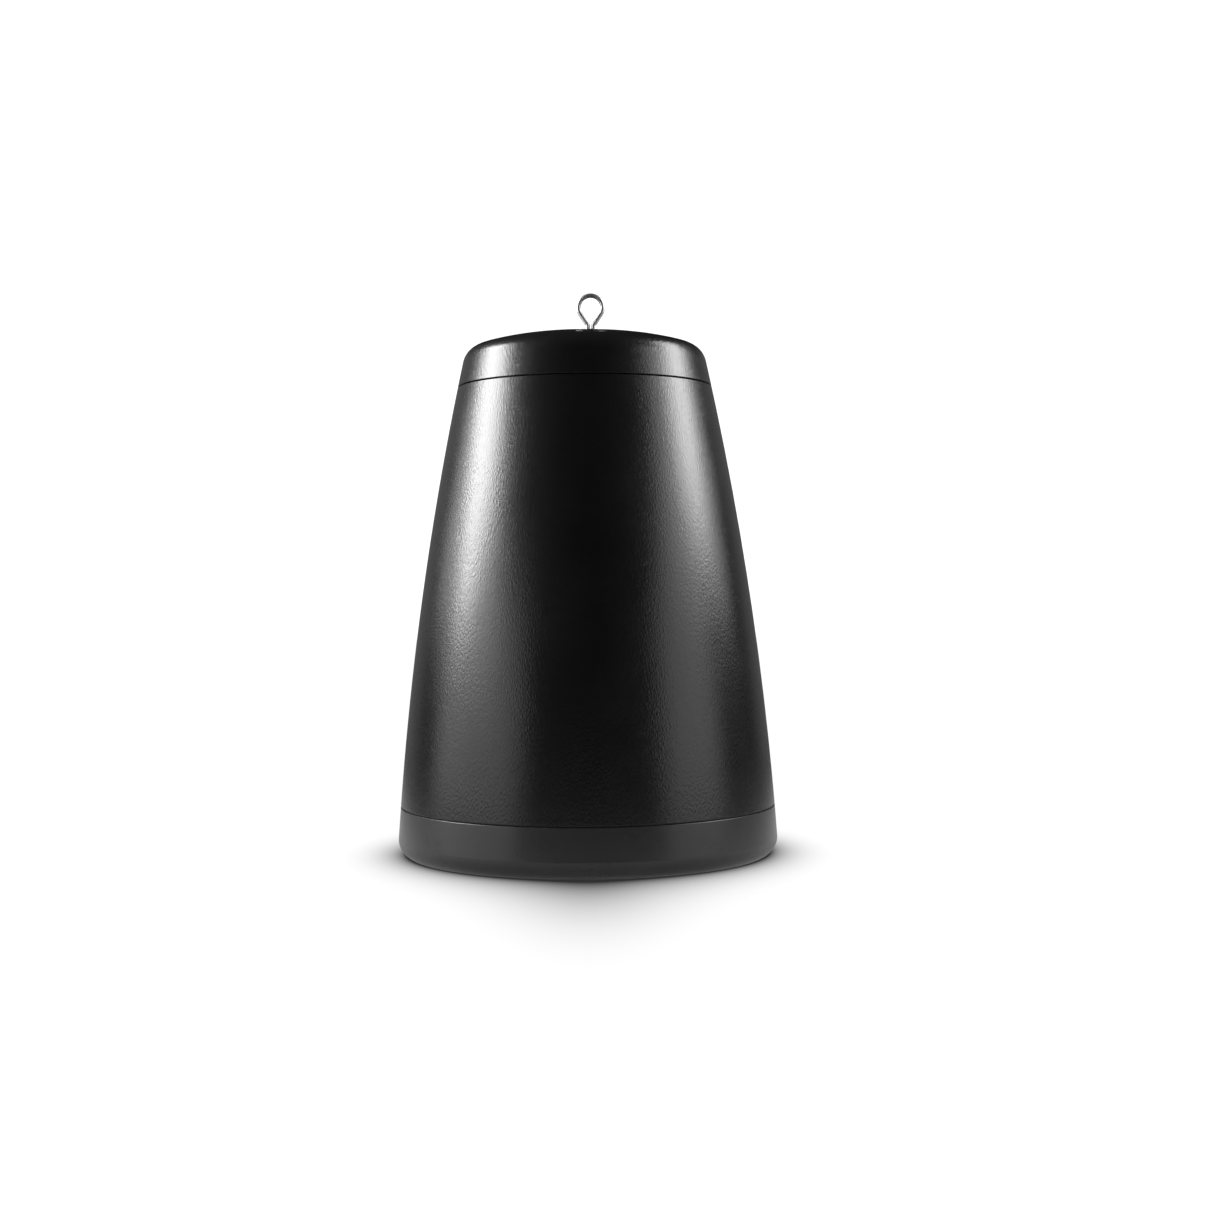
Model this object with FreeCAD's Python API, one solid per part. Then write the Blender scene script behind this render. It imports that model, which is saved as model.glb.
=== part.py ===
import FreeCAD, Part
import math
import os

os.makedirs("parts", exist_ok=True)

# Pendant loudspeaker, standing on its bottom rim. Millimetres, +Z up, origin at the centre of the rim plane.
# The drive units face down through the grille; the wiring recess under the lift-off cap is at the top.

# ---- outer form -------------------------------------------------------------------------------
SIDE_ARC_R = 2550.0       # radius of the long arc that the side follows
SIDE_MAX_R = 154.6        # radius of that arc at its widest level
SIDE_MAX_Z = -161.5       # level of that widest point, below the rim
SHOULDER_R = 17.0         # rounding between the side and the crown
SHOULDER_Z = 380.8        # level of that rounding's centre
CROWN_EDGE = math.radians(16.0)   # slope of the crown where it meets the shoulder
CROWN_FLAT_R = 24.0       # flat middle of the crown, under the eye
RIM_R = 13.5              # rounding between the side and the flat of the rim
RIM_Z = 12.0              # level of that rounding's centre
SEAM = 0.9                # open height of both seams
EDGE_R = 0.45             # rounding of the outer edges at the seams
RING_TOP_Z = 37.4
CAP_BASE_Z = 364.8
CABINET_WALL = 4.0
CAP_WALL = 3.5
TOUCH = 0.3               # gap left between pieces that rest on each other
FIT = 0.05                # radial clearance of pins and threads
BEND_SHARE = 0.45         # part of the shorter run that each bend of a lead takes up

# ---- crown of the cap, tangent to the shoulder, which is tangent to the side --------------------
SHOULDER_LEAN = math.asin((SHOULDER_Z - SIDE_MAX_Z) / (SIDE_ARC_R - SHOULDER_R))
SHOULDER_AT_R = SIDE_MAX_R - SIDE_ARC_R + (SIDE_ARC_R - SHOULDER_R) * math.cos(SHOULDER_LEAN)
CROWN_R = SHOULDER_R + (SHOULDER_AT_R - CROWN_FLAT_R) / math.sin(CROWN_EDGE)
CROWN_Z = SHOULDER_Z - (CROWN_R - SHOULDER_R) * math.cos(CROWN_EDGE)
CAP_TOP_Z = CROWN_Z + CROWN_R

# ---- rounding of the rim, tangent to the side; it meets the flat of the rim at an angle ----------
RIM_LEAN = math.asin((RIM_Z - SIDE_MAX_Z) / (SIDE_ARC_R - RIM_R))
RIM_AT_R = SIDE_MAX_R - SIDE_ARC_R + (SIDE_ARC_R - RIM_R) * math.cos(RIM_LEAN)
RIM_END = -math.asin(RIM_Z / RIM_R)

# ---- baffle and grille ------------------------------------------------------------------------
RING_BORE_R = 137.5
BAFFLE_Z = 24.0
BAFFLE_T = 10.0
SPIGOT_R = 141.2
CUTOUT_R = 73.0
FLANGE_RECESS_R = 82.9
FLANGE_RECESS_T = 5.5
GRILLE_Z = 6.0
GRILLE_T = 1.2
GRILLE_RIM = 8.0
PORT_AT_R = 107.0
PORT_BORE_R = 18.0
PORT_WALL = 2.0
PORT_TOP_Z = 146.0
BAFFLE_SCREW_AT_R = 129.0
BAFFLE_SCREWS = 6
BOSS_R = 7.0
BOSS_LOW_Z = 50.0
BOSS_TOP_Z = 92.0
SPIGOT_TOP_Z = 49.5

# ---- top deck and wiring recess ---------------------------------------------------------------
DECK_Z = 346.0
DECK_T = 4.0
POCKET_Z = 357.0          # underside of the thick ring between the side wall and the collar
RECESS_R = 89.5
COLLAR_R = 93.0
COLLAR_TOP_Z = 377.5
SEAL_Z = 372.5
SEAL_R = 1.5
POST_X = 58.0
POST_Y = 40.0
PLATE_Z = 300.0
PLATE_T = 1.5
FOOT_X = 38.0             # screw places in the transformer's feet
BOARD_Z = 307.0
BOARD_T = 1.6
ON_BOARD_Z = 308.9        # where the board's parts stand

# ---- hanging eye ------------------------------------------------------------------------------
EYE_X = 5.0
WIRE_R = 1.8
LOOP_R = 9.5              # to the wire's centre line
LOOP_Z = 427.8
LEG_X = 2.3
KNEE_Z = 414.0
LEG_FOOT_Z = 368.0
SLOT_L = 28.0
SLOT_W = 7.0
GROMMET_Y = 26.0
GROMMET_BORE_R = 4.0

# ---- woofer -----------------------------------------------------------------------------------
FRAME_R = 82.5
FRAME_Z = 24.3
FRAME_T = 4.0
CONE_EDGE_R = 57.0
CONE_EDGE_Z = 26.0
CONE_NECK_Z = 49.5
FORMER_R = 12.6
COIL_TOP_Z = 74.3
COIL_L = 12.0
GAP_PLATE_Z = 65.3
GAP_PLATE_T = 6.0
MAGNET_T = 16.0
BACK_PLATE_T = 6.0
POLE_R = 12.0
POST_ROD_R = 3.0
WOOFER_SCREW_AT_R = 77.5
TINSEL_R = 0.5

# ---- screws: shank radius, head radius, head height, drive across flats -------------------------
BAFFLE_SCREW = (2.4, 4.6, 3.6, 4.0)
SMALL_SCREW = (1.9, 3.9, 2.6, 3.2)
BOARD_SCREW = (1.45, 2.8, 2.0, 2.5)
BRACKET_SCREW = (2.9, 5.0, 3.2, 4.0)

# ---- internal leads: radius of each kind, levels of their runs ----------------------------------
TAP_LEAD_R = 0.8
MAINS_LEAD_R = 0.9
SIGNAL_LEAD_R = 1.1
LEAD_TOP_Z = 321.0
WOOFER_LEAD_X = 98.0
TWEETER_LEAD_X = 78.0
TWEETER_LEAD_Y = -30.0
TWEETER_LEAD_Z = 118.0

# ---- terminal, switch -------------------------------------------------------------------------
TERMINAL_Y = 56.0
SWITCH_Y = -55.0
POLES = 4
POLE_PITCH = 7.6
TAPS = 5
TAP_PITCH = 5.0
TAP_TAG_Z = 327.0


def V(x, y, z):
    return FreeCAD.Vector(x, y, z)


def side_radius(z, inset=0.0):
    return SIDE_MAX_R - SIDE_ARC_R + math.sqrt(SIDE_ARC_R ** 2 - (z - SIDE_MAX_Z) ** 2) - inset


def side_point(z, inset=0.0):
    return (side_radius(z, inset), z)


def side_arc(z_from, z_to, inset=0.0):
    return [side_point((z_from + z_to) / 2, inset), side_point(z_to, inset)]


def edge_arc(z_edge, inward):
    """The rounded outer edge at a seam as an arc's middle, its end on the side and its end on the seam face.

    inward is 1 where the body lies above the edge, and -1 where it lies below.
    """
    on_side = side_point(z_edge + inward * EDGE_R)
    on_face = (on_side[0] - EDGE_R, z_edge)
    back = EDGE_R * (1 - math.sqrt(0.5))
    return (on_side[0] - back, z_edge + inward * back), on_side, on_face


def turned(start, *steps):
    """Solid of revolution about Z. A step is [end] for a line or [through, end] for an arc."""
    edges = []
    first = V(start[0], 0, start[1])
    here = first
    for step in steps:
        end = V(step[-1][0], 0, step[-1][1])
        if len(step) == 2:
            edges.append(Part.Arc(here, V(step[0][0], 0, step[0][1]), end).toShape())
        else:
            edges.append(Part.LineSegment(here, end).toShape())
        here = end
    if here.distanceToPoint(first) > 1e-6:
        edges.append(Part.LineSegment(here, first).toShape())
    solid = Part.Face(Part.Wire(edges)).revolve(V(0, 0, 0), V(0, 0, 1), 360)
    if solid.Volume < 0:
        solid.reverse()
    return solid


def rod(x, y, z0, z1, r):
    return Part.makeCylinder(r, z1 - z0, V(x, y, z0))


def tube(x, y, z0, z1, r_out, r_in):
    return rod(x, y, z0, z1, r_out).cut(rod(x, y, z0 - 1, z1 + 1, r_in))


def block(x0, x1, y0, y1, z0, z1):
    return Part.makeBox(x1 - x0, y1 - y0, z1 - z0, V(x0, y0, z0))


def hexagon(x, y, z0, z1, across_flats):
    radius = across_flats / math.sqrt(3)
    corners = []
    for k in range(7):
        a = math.radians(60 * k)
        corners.append(V(x + radius * math.cos(a), y + radius * math.sin(a), z0))
    return Part.Face(Part.makePolygon(corners)).extrude(V(0, 0, z1 - z0))


def around(shape, angle):
    turned_shape = shape.copy()
    turned_shape.rotate(V(0, 0, 0), V(0, 0, 1), angle)
    return turned_shape


def fused(shapes):
    result = shapes[0]
    for shape in shapes[1:]:
        result = result.fuse(shape)
    return result.removeSplitter()


def group(shapes):
    return Part.makeCompound(shapes)


def run(points, radius):
    """Round wire along straight runs joined by tangent arcs, each as large as its two runs allow."""
    nodes = [V(*p) for p in points]
    edges = []
    here = nodes[0]
    for k in range(1, len(nodes) - 1):
        back = (nodes[k - 1] - nodes[k]).normalize()
        ahead = (nodes[k + 1] - nodes[k]).normalize()
        half = back.getAngle(ahead) / 2
        shorter = min((nodes[k - 1] - nodes[k]).Length, (nodes[k + 1] - nodes[k]).Length)
        setback = BEND_SHARE * shorter
        bend = setback * math.tan(half)
        leave = nodes[k] + back * setback
        arrive = nodes[k] + ahead * setback
        centre = nodes[k] + (back + ahead).normalize() * (bend / math.sin(half))
        through = centre + (nodes[k] - centre).normalize() * bend
        edges.append(Part.LineSegment(here, leave).toShape())
        edges.append(Part.Arc(leave, through, arrive).toShape())
        here = arrive
    edges.append(Part.LineSegment(here, nodes[-1]).toShape())
    path = Part.Wire(edges)
    section = Part.Wire(Part.makeCircle(radius, nodes[0], nodes[1] - nodes[0]))
    return path.makePipeShell([section], True, False)


def screw(x, y, z_seat, z_tip, shank_r, head_r, head_t, drive_r):
    """Pan-head screw whose head lies below z_seat for an upward tip, above it for a downward one."""
    up = z_tip > z_seat
    if up:
        body = rod(x, y, z_seat, z_tip, shank_r).fuse(rod(x, y, z_seat - head_t, z_seat, head_r))
        drive = hexagon(x, y, z_seat - head_t, z_seat - head_t * 0.45, drive_r)
    else:
        body = rod(x, y, z_tip, z_seat, shank_r).fuse(rod(x, y, z_seat, z_seat + head_t, head_r))
        drive = hexagon(x, y, z_seat + head_t * 0.45, z_seat + head_t, drive_r)
    return body.cut(drive)


def ring_points(radius, count, start=0.0):
    points = []
    for k in range(count):
        a = math.radians(start + 360.0 * k / count)
        points.append((radius * math.cos(a), radius * math.sin(a)))
    return points


BAFFLE_SCREW_POINTS = ring_points(BAFFLE_SCREW_AT_R, BAFFLE_SCREWS)
WOOFER_SCREW_POINTS = ring_points(WOOFER_SCREW_AT_R, 4, 45.0)
POST_POINTS = [(sx * POST_X, sy * POST_Y) for sx in (-1, 1) for sy in (-1, 1)]
BRACKET_SCREW_POINTS = [(EYE_X + sx * 40.0, sy * 7.5) for sx in (-1, 1) for sy in (-1, 1)]
BOARD_POINTS = [(x, y) for x in (-9.0, 44.0) for y in (-36.0, 36.0)]


# ---- enclosure --------------------------------------------------------------------------------
def cabinet_shell():
    z_low = RING_TOP_Z + SEAM
    z_high = CAP_BASE_Z - SEAM
    low_middle, low_side, low_face = edge_arc(z_low, 1)
    high_middle, high_side, high_face = edge_arc(z_high, -1)
    shell = turned(
        low_face,
        [low_middle, low_side],
        side_arc(low_side[1], high_side[1]),
        [high_middle, high_face],
        [(COLLAR_R, z_high)],
        [(COLLAR_R, COLLAR_TOP_Z)],
        [(RECESS_R, COLLAR_TOP_Z)],
        [(RECESS_R, DECK_Z + DECK_T)],
        [(0, DECK_Z + DECK_T)],
        [(0, DECK_Z)],
        [(COLLAR_R, DECK_Z)],
        [(COLLAR_R, POCKET_Z)],
        [side_point(POCKET_Z, CABINET_WALL)],
        side_arc(POCKET_Z, z_low, CABINET_WALL),
    )
    seal_groove = tube(0, 0, SEAL_Z - SEAL_R - 0.2, SEAL_Z + SEAL_R + 0.2, COLLAR_R + 5, COLLAR_R - 1.7)
    shell = shell.cut(seal_groove)
    hollow = turned(
        (0, z_low),
        [side_point(z_low, CABINET_WALL - 1)],
        side_arc(z_low, POCKET_Z, CABINET_WALL - 1),
        [(0, POCKET_Z)],
    )
    extras = []
    for k in range(BAFFLE_SCREWS):
        boss = rod(BAFFLE_SCREW_AT_R, 0, BOSS_LOW_Z, BOSS_TOP_Z, BOSS_R)
        web = block(BAFFLE_SCREW_AT_R, BAFFLE_SCREW_AT_R + 2 * BOSS_R, -3, 3, BOSS_LOW_Z, BOSS_TOP_Z)
        extras.append(around(boss.fuse(web), 360.0 * k / BAFFLE_SCREWS).common(hollow))
    for x, y in POST_POINTS:
        extras.append(rod(x, y, PLATE_Z + PLATE_T + TOUCH, DECK_Z + 1, 5.0))
    extras.append(block(EYE_X - 50, EYE_X + 50, -13, 13, DECK_Z - 12, DECK_Z + 1))
    shell = fused([shell] + extras)
    cuts = []
    for x, y in BAFFLE_SCREW_POINTS:
        cuts.append(rod(x, y, BOSS_LOW_Z - 1, BOSS_TOP_Z - 8, BAFFLE_SCREW[0] + FIT))
    for x, y in POST_POINTS:
        cuts.append(rod(x, y, PLATE_Z, PLATE_Z + 20, SMALL_SCREW[0] + FIT))
    for x, y in BRACKET_SCREW_POINTS:
        cuts.append(rod(x, y, DECK_Z - 10, DECK_Z + DECK_T + 1, BRACKET_SCREW[0] + FIT))
    cuts.append(rod(0, SWITCH_Y, DECK_Z - 1, DECK_Z + DECK_T + 1, 4.8))
    cuts.append(block(-18.4, 18.4, TERMINAL_Y - 7.4, TERMINAL_Y + 7.4, DECK_Z - 1, DECK_Z + DECK_T + 1))
    return shell.cut(group(cuts))


def on_arc(r, z, reach, angle):
    """Point at that angle above the horizontal, on an arc about (r, z)."""
    return (r + reach * math.cos(angle), z + reach * math.sin(angle))


def cap_body(wall, z_base):
    """Solid cap whose outside lies inside the cap's own by the wall: side, shoulder, crown, flat middle."""
    middle, side_end, face_end = edge_arc(z_base, 1)
    base_edge = [[face_end], [middle, side_end]]
    if wall > 0:
        side_end = side_point(z_base, wall)
        base_edge = [[side_end]]
    shoulder = SHOULDER_R - wall
    crown = CROWN_R - wall
    crown_start = math.pi / 2 - CROWN_EDGE
    touch = on_arc(SHOULDER_AT_R, SHOULDER_Z, shoulder, SHOULDER_LEAN)
    shoulder_middle = on_arc(SHOULDER_AT_R, SHOULDER_Z, shoulder, (SHOULDER_LEAN + crown_start) / 2)
    join = on_arc(SHOULDER_AT_R, SHOULDER_Z, shoulder, crown_start)
    crown_middle = on_arc(CROWN_FLAT_R, CROWN_Z, crown, math.pi / 2 - CROWN_EDGE / 2)
    return turned(
        (0, z_base),
        *base_edge,
        [side_point((side_end[1] + touch[1]) / 2, wall), touch],
        [shoulder_middle, join],
        [crown_middle, (CROWN_FLAT_R, CAP_TOP_Z - wall)],
        [(0, CAP_TOP_Z - wall)],
    )


def top_cap():
    cap = cap_body(0.0, CAP_BASE_Z).cut(cap_body(CAP_WALL, CAP_BASE_Z - 1))
    ribs = []
    for k in range(8):
        rib = block(60.0, 92.0, -1.0, 1.0, CAP_TOP_Z - 16, CAP_TOP_Z)
        ribs.append(around(rib, 22.5 + 45.0 * k).common(cap_body(CAP_WALL - 0.5, CAP_BASE_Z)))
    cap = fused([cap] + ribs)
    low = CAP_TOP_Z - CAP_WALL - 2
    high = CAP_TOP_Z + 2
    half = (SLOT_L - SLOT_W) / 2
    slot = block(EYE_X - half, EYE_X + half, -SLOT_W / 2, SLOT_W / 2, low, high)
    for x in (EYE_X - half, EYE_X + half):
        slot = slot.fuse(rod(x, 0, low, high, SLOT_W / 2))
    return cap.cut(slot).cut(rod(EYE_X, GROMMET_Y, low, high, 7.0))


def cap_seal():
    return Part.makeTorus(COLLAR_R - 0.1, SEAL_R, V(0, 0, SEAL_Z))


def cable_grommet():
    low = CAP_TOP_Z - CAP_WALL
    body = rod(EYE_X, GROMMET_Y, low - 2.3, CAP_TOP_Z + 2.3, 6.8)
    body = body.fuse(rod(EYE_X, GROMMET_Y, CAP_TOP_Z + TOUCH, CAP_TOP_Z + 2.3, 9.5))
    body = body.fuse(rod(EYE_X, GROMMET_Y, low - 2.3, low - 2 * TOUCH, 9.5)).removeSplitter()
    return body.cut(rod(EYE_X, GROMMET_Y, low - 4, CAP_TOP_Z + 4, GROMMET_BORE_R))


def front_baffle():
    plate_top = BAFFLE_Z + BAFFLE_T
    flat_end = on_arc(RIM_AT_R, RIM_Z, RIM_R, RIM_END)
    through = on_arc(RIM_AT_R, RIM_Z, RIM_R, (RIM_END + RIM_LEAN) / 2)
    touch = on_arc(RIM_AT_R, RIM_Z, RIM_R, RIM_LEAN)
    edge_middle, edge_side, edge_face = edge_arc(RING_TOP_Z, -1)
    body = turned(
        (RING_BORE_R, 0.6),
        [(RING_BORE_R + 0.6, 0)],
        [flat_end],
        [through, touch],
        side_arc(touch[1], edge_side[1]),
        [edge_middle, edge_face],
        [(SPIGOT_R, RING_TOP_Z)],
        [(SPIGOT_R, SPIGOT_TOP_Z)],
        [(SPIGOT_R - 3.2, SPIGOT_TOP_Z)],
        [(SPIGOT_R - 3.2, plate_top)],
        [(CUTOUT_R, plate_top)],
        [(CUTOUT_R, BAFFLE_Z + FLANGE_RECESS_T)],
        [(FLANGE_RECESS_R, BAFFLE_Z + FLANGE_RECESS_T)],
        [(FLANGE_RECESS_R, BAFFLE_Z)],
        [(RING_BORE_R, BAFFLE_Z)],
    )
    extras = []
    for x, y in BAFFLE_SCREW_POINTS:
        extras.append(rod(x, y, plate_top - 1, BOSS_LOW_Z - TOUCH, BOSS_R))
    for x, y in WOOFER_SCREW_POINTS:
        extras.append(rod(x, y, plate_top - 1, 44.0, 5.0).cut(rod(0, 0, 30.0, 50.0, CUTOUT_R)))
    for k in range(6):
        rib = block(RING_BORE_R - 4.8, RING_BORE_R + 1, -4, 4, GRILLE_Z + GRILLE_RIM + TOUCH, BAFFLE_Z + 1)
        extras.append(around(rib, 30.0 + 60.0 * k))
    for k in range(12):
        rib = block(84.5, 139.0, -1.25, 1.25, plate_top - 1, 39.0)
        extras.append(around(rib, 15.0 + 30.0 * k))
    body = fused([body] + extras)
    cuts = [rod(0, PORT_AT_R, BAFFLE_Z - 1, 45.0, PORT_BORE_R + PORT_WALL + TOUCH)]
    for x, y in BAFFLE_SCREW_POINTS:
        cuts.append(rod(x, y, BAFFLE_Z - 1, 51.0, 2.7))
        cuts.append(rod(x, y, BAFFLE_Z - 1, 30.0, 5.2))
    for x, y in WOOFER_SCREW_POINTS:
        cuts.append(rod(x, y, BAFFLE_Z, 42.0, SMALL_SCREW[0] + FIT))
    return body.cut(group(cuts))


def baffle_gasket():
    return tube(0, 0, RING_TOP_Z + 0.2, RING_TOP_Z + SEAM - 0.2, 145.2, 143.0)


def baffle_screws():
    return group([screw(x, y, 30.0 - TOUCH, 78.0, *BAFFLE_SCREW) for x, y in BAFFLE_SCREW_POINTS])


def grille():
    r = RING_BORE_R - TOUCH
    return turned(
        (0, GRILLE_Z),
        [(r - 1.2, GRILLE_Z)],
        [(r - 0.35, GRILLE_Z + 0.35), (r, GRILLE_Z + 1.2)],
        [(r, GRILLE_Z + GRILLE_RIM)],
        [(r - GRILLE_T, GRILLE_Z + GRILLE_RIM)],
        [(r - GRILLE_T, GRILLE_Z + GRILLE_T)],
        [(0, GRILLE_Z + GRILLE_T)],
    )


def port_tube():
    bore = PORT_BORE_R
    out = PORT_BORE_R + PORT_WALL
    low = BAFFLE_Z - TOUCH
    body = turned(
        (bore, low + 5),
        [(bore + 0.9, low + 0.8), (bore + 3.6, low - 3)],
        [(23.0, low - 3)],
        [(23.0, low)],
        [(out, low)],
        [(out, PORT_TOP_Z - 4)],
        [(out + 3.0, PORT_TOP_Z)],
        [(out + 1.0, PORT_TOP_Z)],
        [(bore, PORT_TOP_Z - 5)],
    )
    body.translate(V(0, PORT_AT_R, 0))
    return body


# ---- woofer -----------------------------------------------------------------------------------
def woofer_basket():
    top = FRAME_Z + FRAME_T
    seat = GAP_PLATE_Z - TOUCH
    body = turned(
        (71.3, FRAME_Z),
        [(FRAME_R, FRAME_Z)],
        [(FRAME_R, top)],
        [(72.0, top)],
        [(46.8, seat)],
        [(16.0, seat)],
        [(16.0, seat - 3)],
        [(43.4, seat - 3)],
        [(49.2, 54.6)],
        [(44.0, 54.6)],
        [(44.0, 52.6)],
        [(50.8, 52.6)],
        [(67.6, 29.9)],
        [(66.0, 28.3)],
        [(66.0, 26.6)],
        [(71.3, 26.6)],
    )
    cuts = []
    for k in range(5):
        low_window = block(40.0, 80.0, -23.0, 23.0, 32.5, 50.5)
        high_window = block(30.0, 70.0, -13.0, 13.0, 56.0, 60.8)
        cuts.append(around(low_window.fuse(high_window), 72.0 * k))
    for x, y in WOOFER_SCREW_POINTS:
        cuts.append(rod(x, y, FRAME_Z - 1, top + 1, 2.4))
    return body.cut(group(cuts))


def woofer_top_plate():
    return tube(0, 0, GAP_PLATE_Z, GAP_PLATE_Z + GAP_PLATE_T, 42.0, 13.6)


def woofer_magnet():
    low = GAP_PLATE_Z + GAP_PLATE_T + TOUCH
    return tube(0, 0, low, low + MAGNET_T, 45.0, 24.0)


def woofer_back_plate():
    low = GAP_PLATE_Z + GAP_PLATE_T + MAGNET_T + 2 * TOUCH
    pole = rod(0, 0, GAP_PLATE_Z, low, POLE_R)
    plate = rod(0, 0, low, low + BACK_PLATE_T, 42.0).fuse(pole).removeSplitter()
    return plate.cut(rod(0, 0, GAP_PLATE_Z - 1, low + BACK_PLATE_T + 1, POST_ROD_R + FIT))


def woofer_cone():
    neck = FORMER_R + 0.3
    t = 0.8
    return turned(
        (CONE_EDGE_R, CONE_EDGE_Z),
        [(CONE_EDGE_R, CONE_EDGE_Z + t)],
        [(34.5, 41.2), (neck, CONE_NECK_Z + 1.5)],
        [(neck, CONE_NECK_Z)],
        [(34.2, 40.2), (CONE_EDGE_R - 0.8, CONE_EDGE_Z)],
    )


def woofer_surround():
    inner = CONE_EDGE_R + 0.4
    outer = 66.0
    mid = (inner + outer) / 2
    half = (outer - inner) / 2
    z = CONE_EDGE_Z - 0.1
    t = 0.7
    return turned(
        (inner, z),
        [(mid, z - half), (outer, z)],
        [(71.0, z)],
        [(71.0, z + t - 0.3)],
        [(outer - t, z + t - 0.3)],
        [(mid, z - half + t), (inner + t, z + t - 0.3)],
        [(inner, z + t - 0.3)],
    )


def woofer_spider():
    """Corrugated disc between the voice coil former and the basket's ledge."""
    inner = FORMER_R + 0.3
    outer = 50.0
    waves = 6
    pitch = (44.0 - inner) / waves
    z = 51.4
    t = 0.5
    lift = 1.1
    low = []
    high = []
    here = inner
    for k in range(waves):
        sign = 1 if k % 2 else -1
        low.append([(here + pitch / 2, z + sign * lift), (here + pitch, z)])
        high.insert(0, [(here + pitch / 2, z + sign * lift + t), (here, z + t)])
        here += pitch
    steps = low + [[(outer, z)], [(outer, z + t)], [(here, z + t)]] + high
    return turned((inner, z), *steps)


def voice_coil_former():
    """Starts just inside the cone's neck, so that it stays above the tweeter over the whole travel."""
    return tube(0, 0, CONE_NECK_Z, COIL_TOP_Z, FORMER_R, FORMER_R - 0.3)


def voice_coil():
    return tube(0, 0, COIL_TOP_Z - COIL_L, COIL_TOP_Z, FORMER_R + FIT + 0.55, FORMER_R + FIT)


def woofer_terminals():
    strip = block(62.0, 63.6, -15, 15, 28.6, 50.0)
    tabs = []
    for y in (-7.0, 7.0):
        tabs.append(block(63.0, 71.0, y - 3.0, y + 3.0, 45.6, 46.4))
        tabs.append(block(63.0, 64.4, y - 3.0, y + 3.0, 41.0, 46.4))
    return fused([strip] + tabs)


def tinsel_leads():
    leads = []
    for y in (-4.5, 4.5):
        leads.append(run([(30.0, y, 43.6), (34.0, y, 47.6), (48.0, y, 44.6), (61.6, y, 48.2)], TINSEL_R))
    return group(leads)


def woofer_gasket():
    low = FRAME_Z + FRAME_T + TOUCH
    ring = tube(0, 0, low, BAFFLE_Z + FLANGE_RECESS_T - TOUCH, 82.2, 73.6)
    return ring.cut(group([rod(x, y, 20.0, 40.0, 2.6) for x, y in WOOFER_SCREW_POINTS]))


def woofer_screws():
    return group([screw(x, y, FRAME_Z - TOUCH, 40.0, *SMALL_SCREW) for x, y in WOOFER_SCREW_POINTS])


# ---- tweeter on its post ----------------------------------------------------------------------
def tweeter_post():
    return tube(0, 0, 41.5, 101.0, POST_ROD_R, 1.6)


def tweeter_post_nut():
    low = GAP_PLATE_Z + GAP_PLATE_T + MAGNET_T + BACK_PLATE_T + 3 * TOUCH
    return hexagon(0, 0, low, low + 4.5, 10.0).cut(rod(0, 0, low - 1, low + 6, POST_ROD_R + FIT))


def tweeter_housing():
    return turned(
        (15.6, 22.5),
        [(17.0, 23.2), (17.0, 24.2)],
        [(17.0, 37.0)],
        [(14.5, 42.2), (8.0, 45.6)],
        [(POST_ROD_R + FIT, 45.6)],
        [(POST_ROD_R + FIT, 41.2)],
        [(2.0, 41.2)],
        [(2.0, 40.2)],
        [(13.3, 40.2)],
        [(13.3, 27.0)],
        [(11.4, 27.0)],
        [(12.6, 24.0), (15.6, 22.5)],
    )


def tweeter_yoke():
    return turned(
        (11.0, 29.9),
        [(13.0, 29.9)],
        [(13.0, 39.9)],
        [(0, 39.9)],
        [(0, 37.2)],
        [(11.0, 37.2)],
    )


def tweeter_magnet():
    return rod(0, 0, 33.0, 36.9, 8.8)


def tweeter_front_plate():
    return rod(0, 0, 30.3, 32.7, 9.5)


def tweeter_dome():
    rim = 10.15
    base = 27.5
    rise = 3.2
    t = 0.3
    radius = (rim ** 2 + rise ** 2) / (2 * rise)
    centre = base + radius - rise
    half = math.asin(rim / radius) / 2
    outer_mid = (radius * math.sin(half), centre - radius * math.cos(half))
    inner_mid = ((radius - t) * math.sin(half), centre - (radius - t) * math.cos(half))
    inner_rim = rim - 0.25
    inner_z = centre - math.sqrt((radius - t) ** 2 - inner_rim ** 2)
    return turned(
        (0, base - rise),
        [outer_mid, (rim, base)],
        [(rim, 33.5)],
        [(inner_rim, 33.5)],
        [(inner_rim, inner_z)],
        [inner_mid, (0, base - rise + t)],
    )


def tweeter_coil():
    return tube(0, 0, 29.9, 33.1, 10.55, 10.15 + FIT)


def tweeter_surround():
    return turned(
        (10.45, 27.5),
        [(11.3, 27.0), (12.1, 27.5)],
        [(13.0, 27.5)],
        [(13.0, 27.9)],
        [(12.0, 27.9)],
        [(11.3, 27.45), (10.6, 27.9)],
        [(10.45, 27.9)],
    )


# ---- electrical parts on the component plate ---------------------------------------------------
def component_plate():
    plate = block(-70, 70, -50, 50, PLATE_Z, PLATE_Z + PLATE_T)
    holes = [rod(x, y, PLATE_Z - 1, PLATE_Z + 3, 2.2) for x, y in POST_POINTS]
    holes += [rod(x, y, PLATE_Z - 1, PLATE_Z + 3, BOARD_SCREW[0] + FIT) for x, y in BOARD_POINTS]
    holes += [rod(x, 0, PLATE_Z - 1, PLATE_Z + 3, SMALL_SCREW[0] + FIT) for x in (-FOOT_X, FOOT_X)]
    holes.append(rod(-25, 30, PLATE_Z - 1, PLATE_Z + 3, 6.0))
    return plate.cut(group(holes))


def plate_screws():
    """Four screws into the deck posts and two through the transformer's feet, all of one kind."""
    screws = [screw(x, y, PLATE_Z - TOUCH, PLATE_Z + 14, *SMALL_SCREW) for x, y in POST_POINTS]
    screws += [screw(x, 0, PLATE_Z - 2.1, PLATE_Z + 4, *SMALL_SCREW) for x in (-FOOT_X, FOOT_X)]
    return group(screws)


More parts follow.
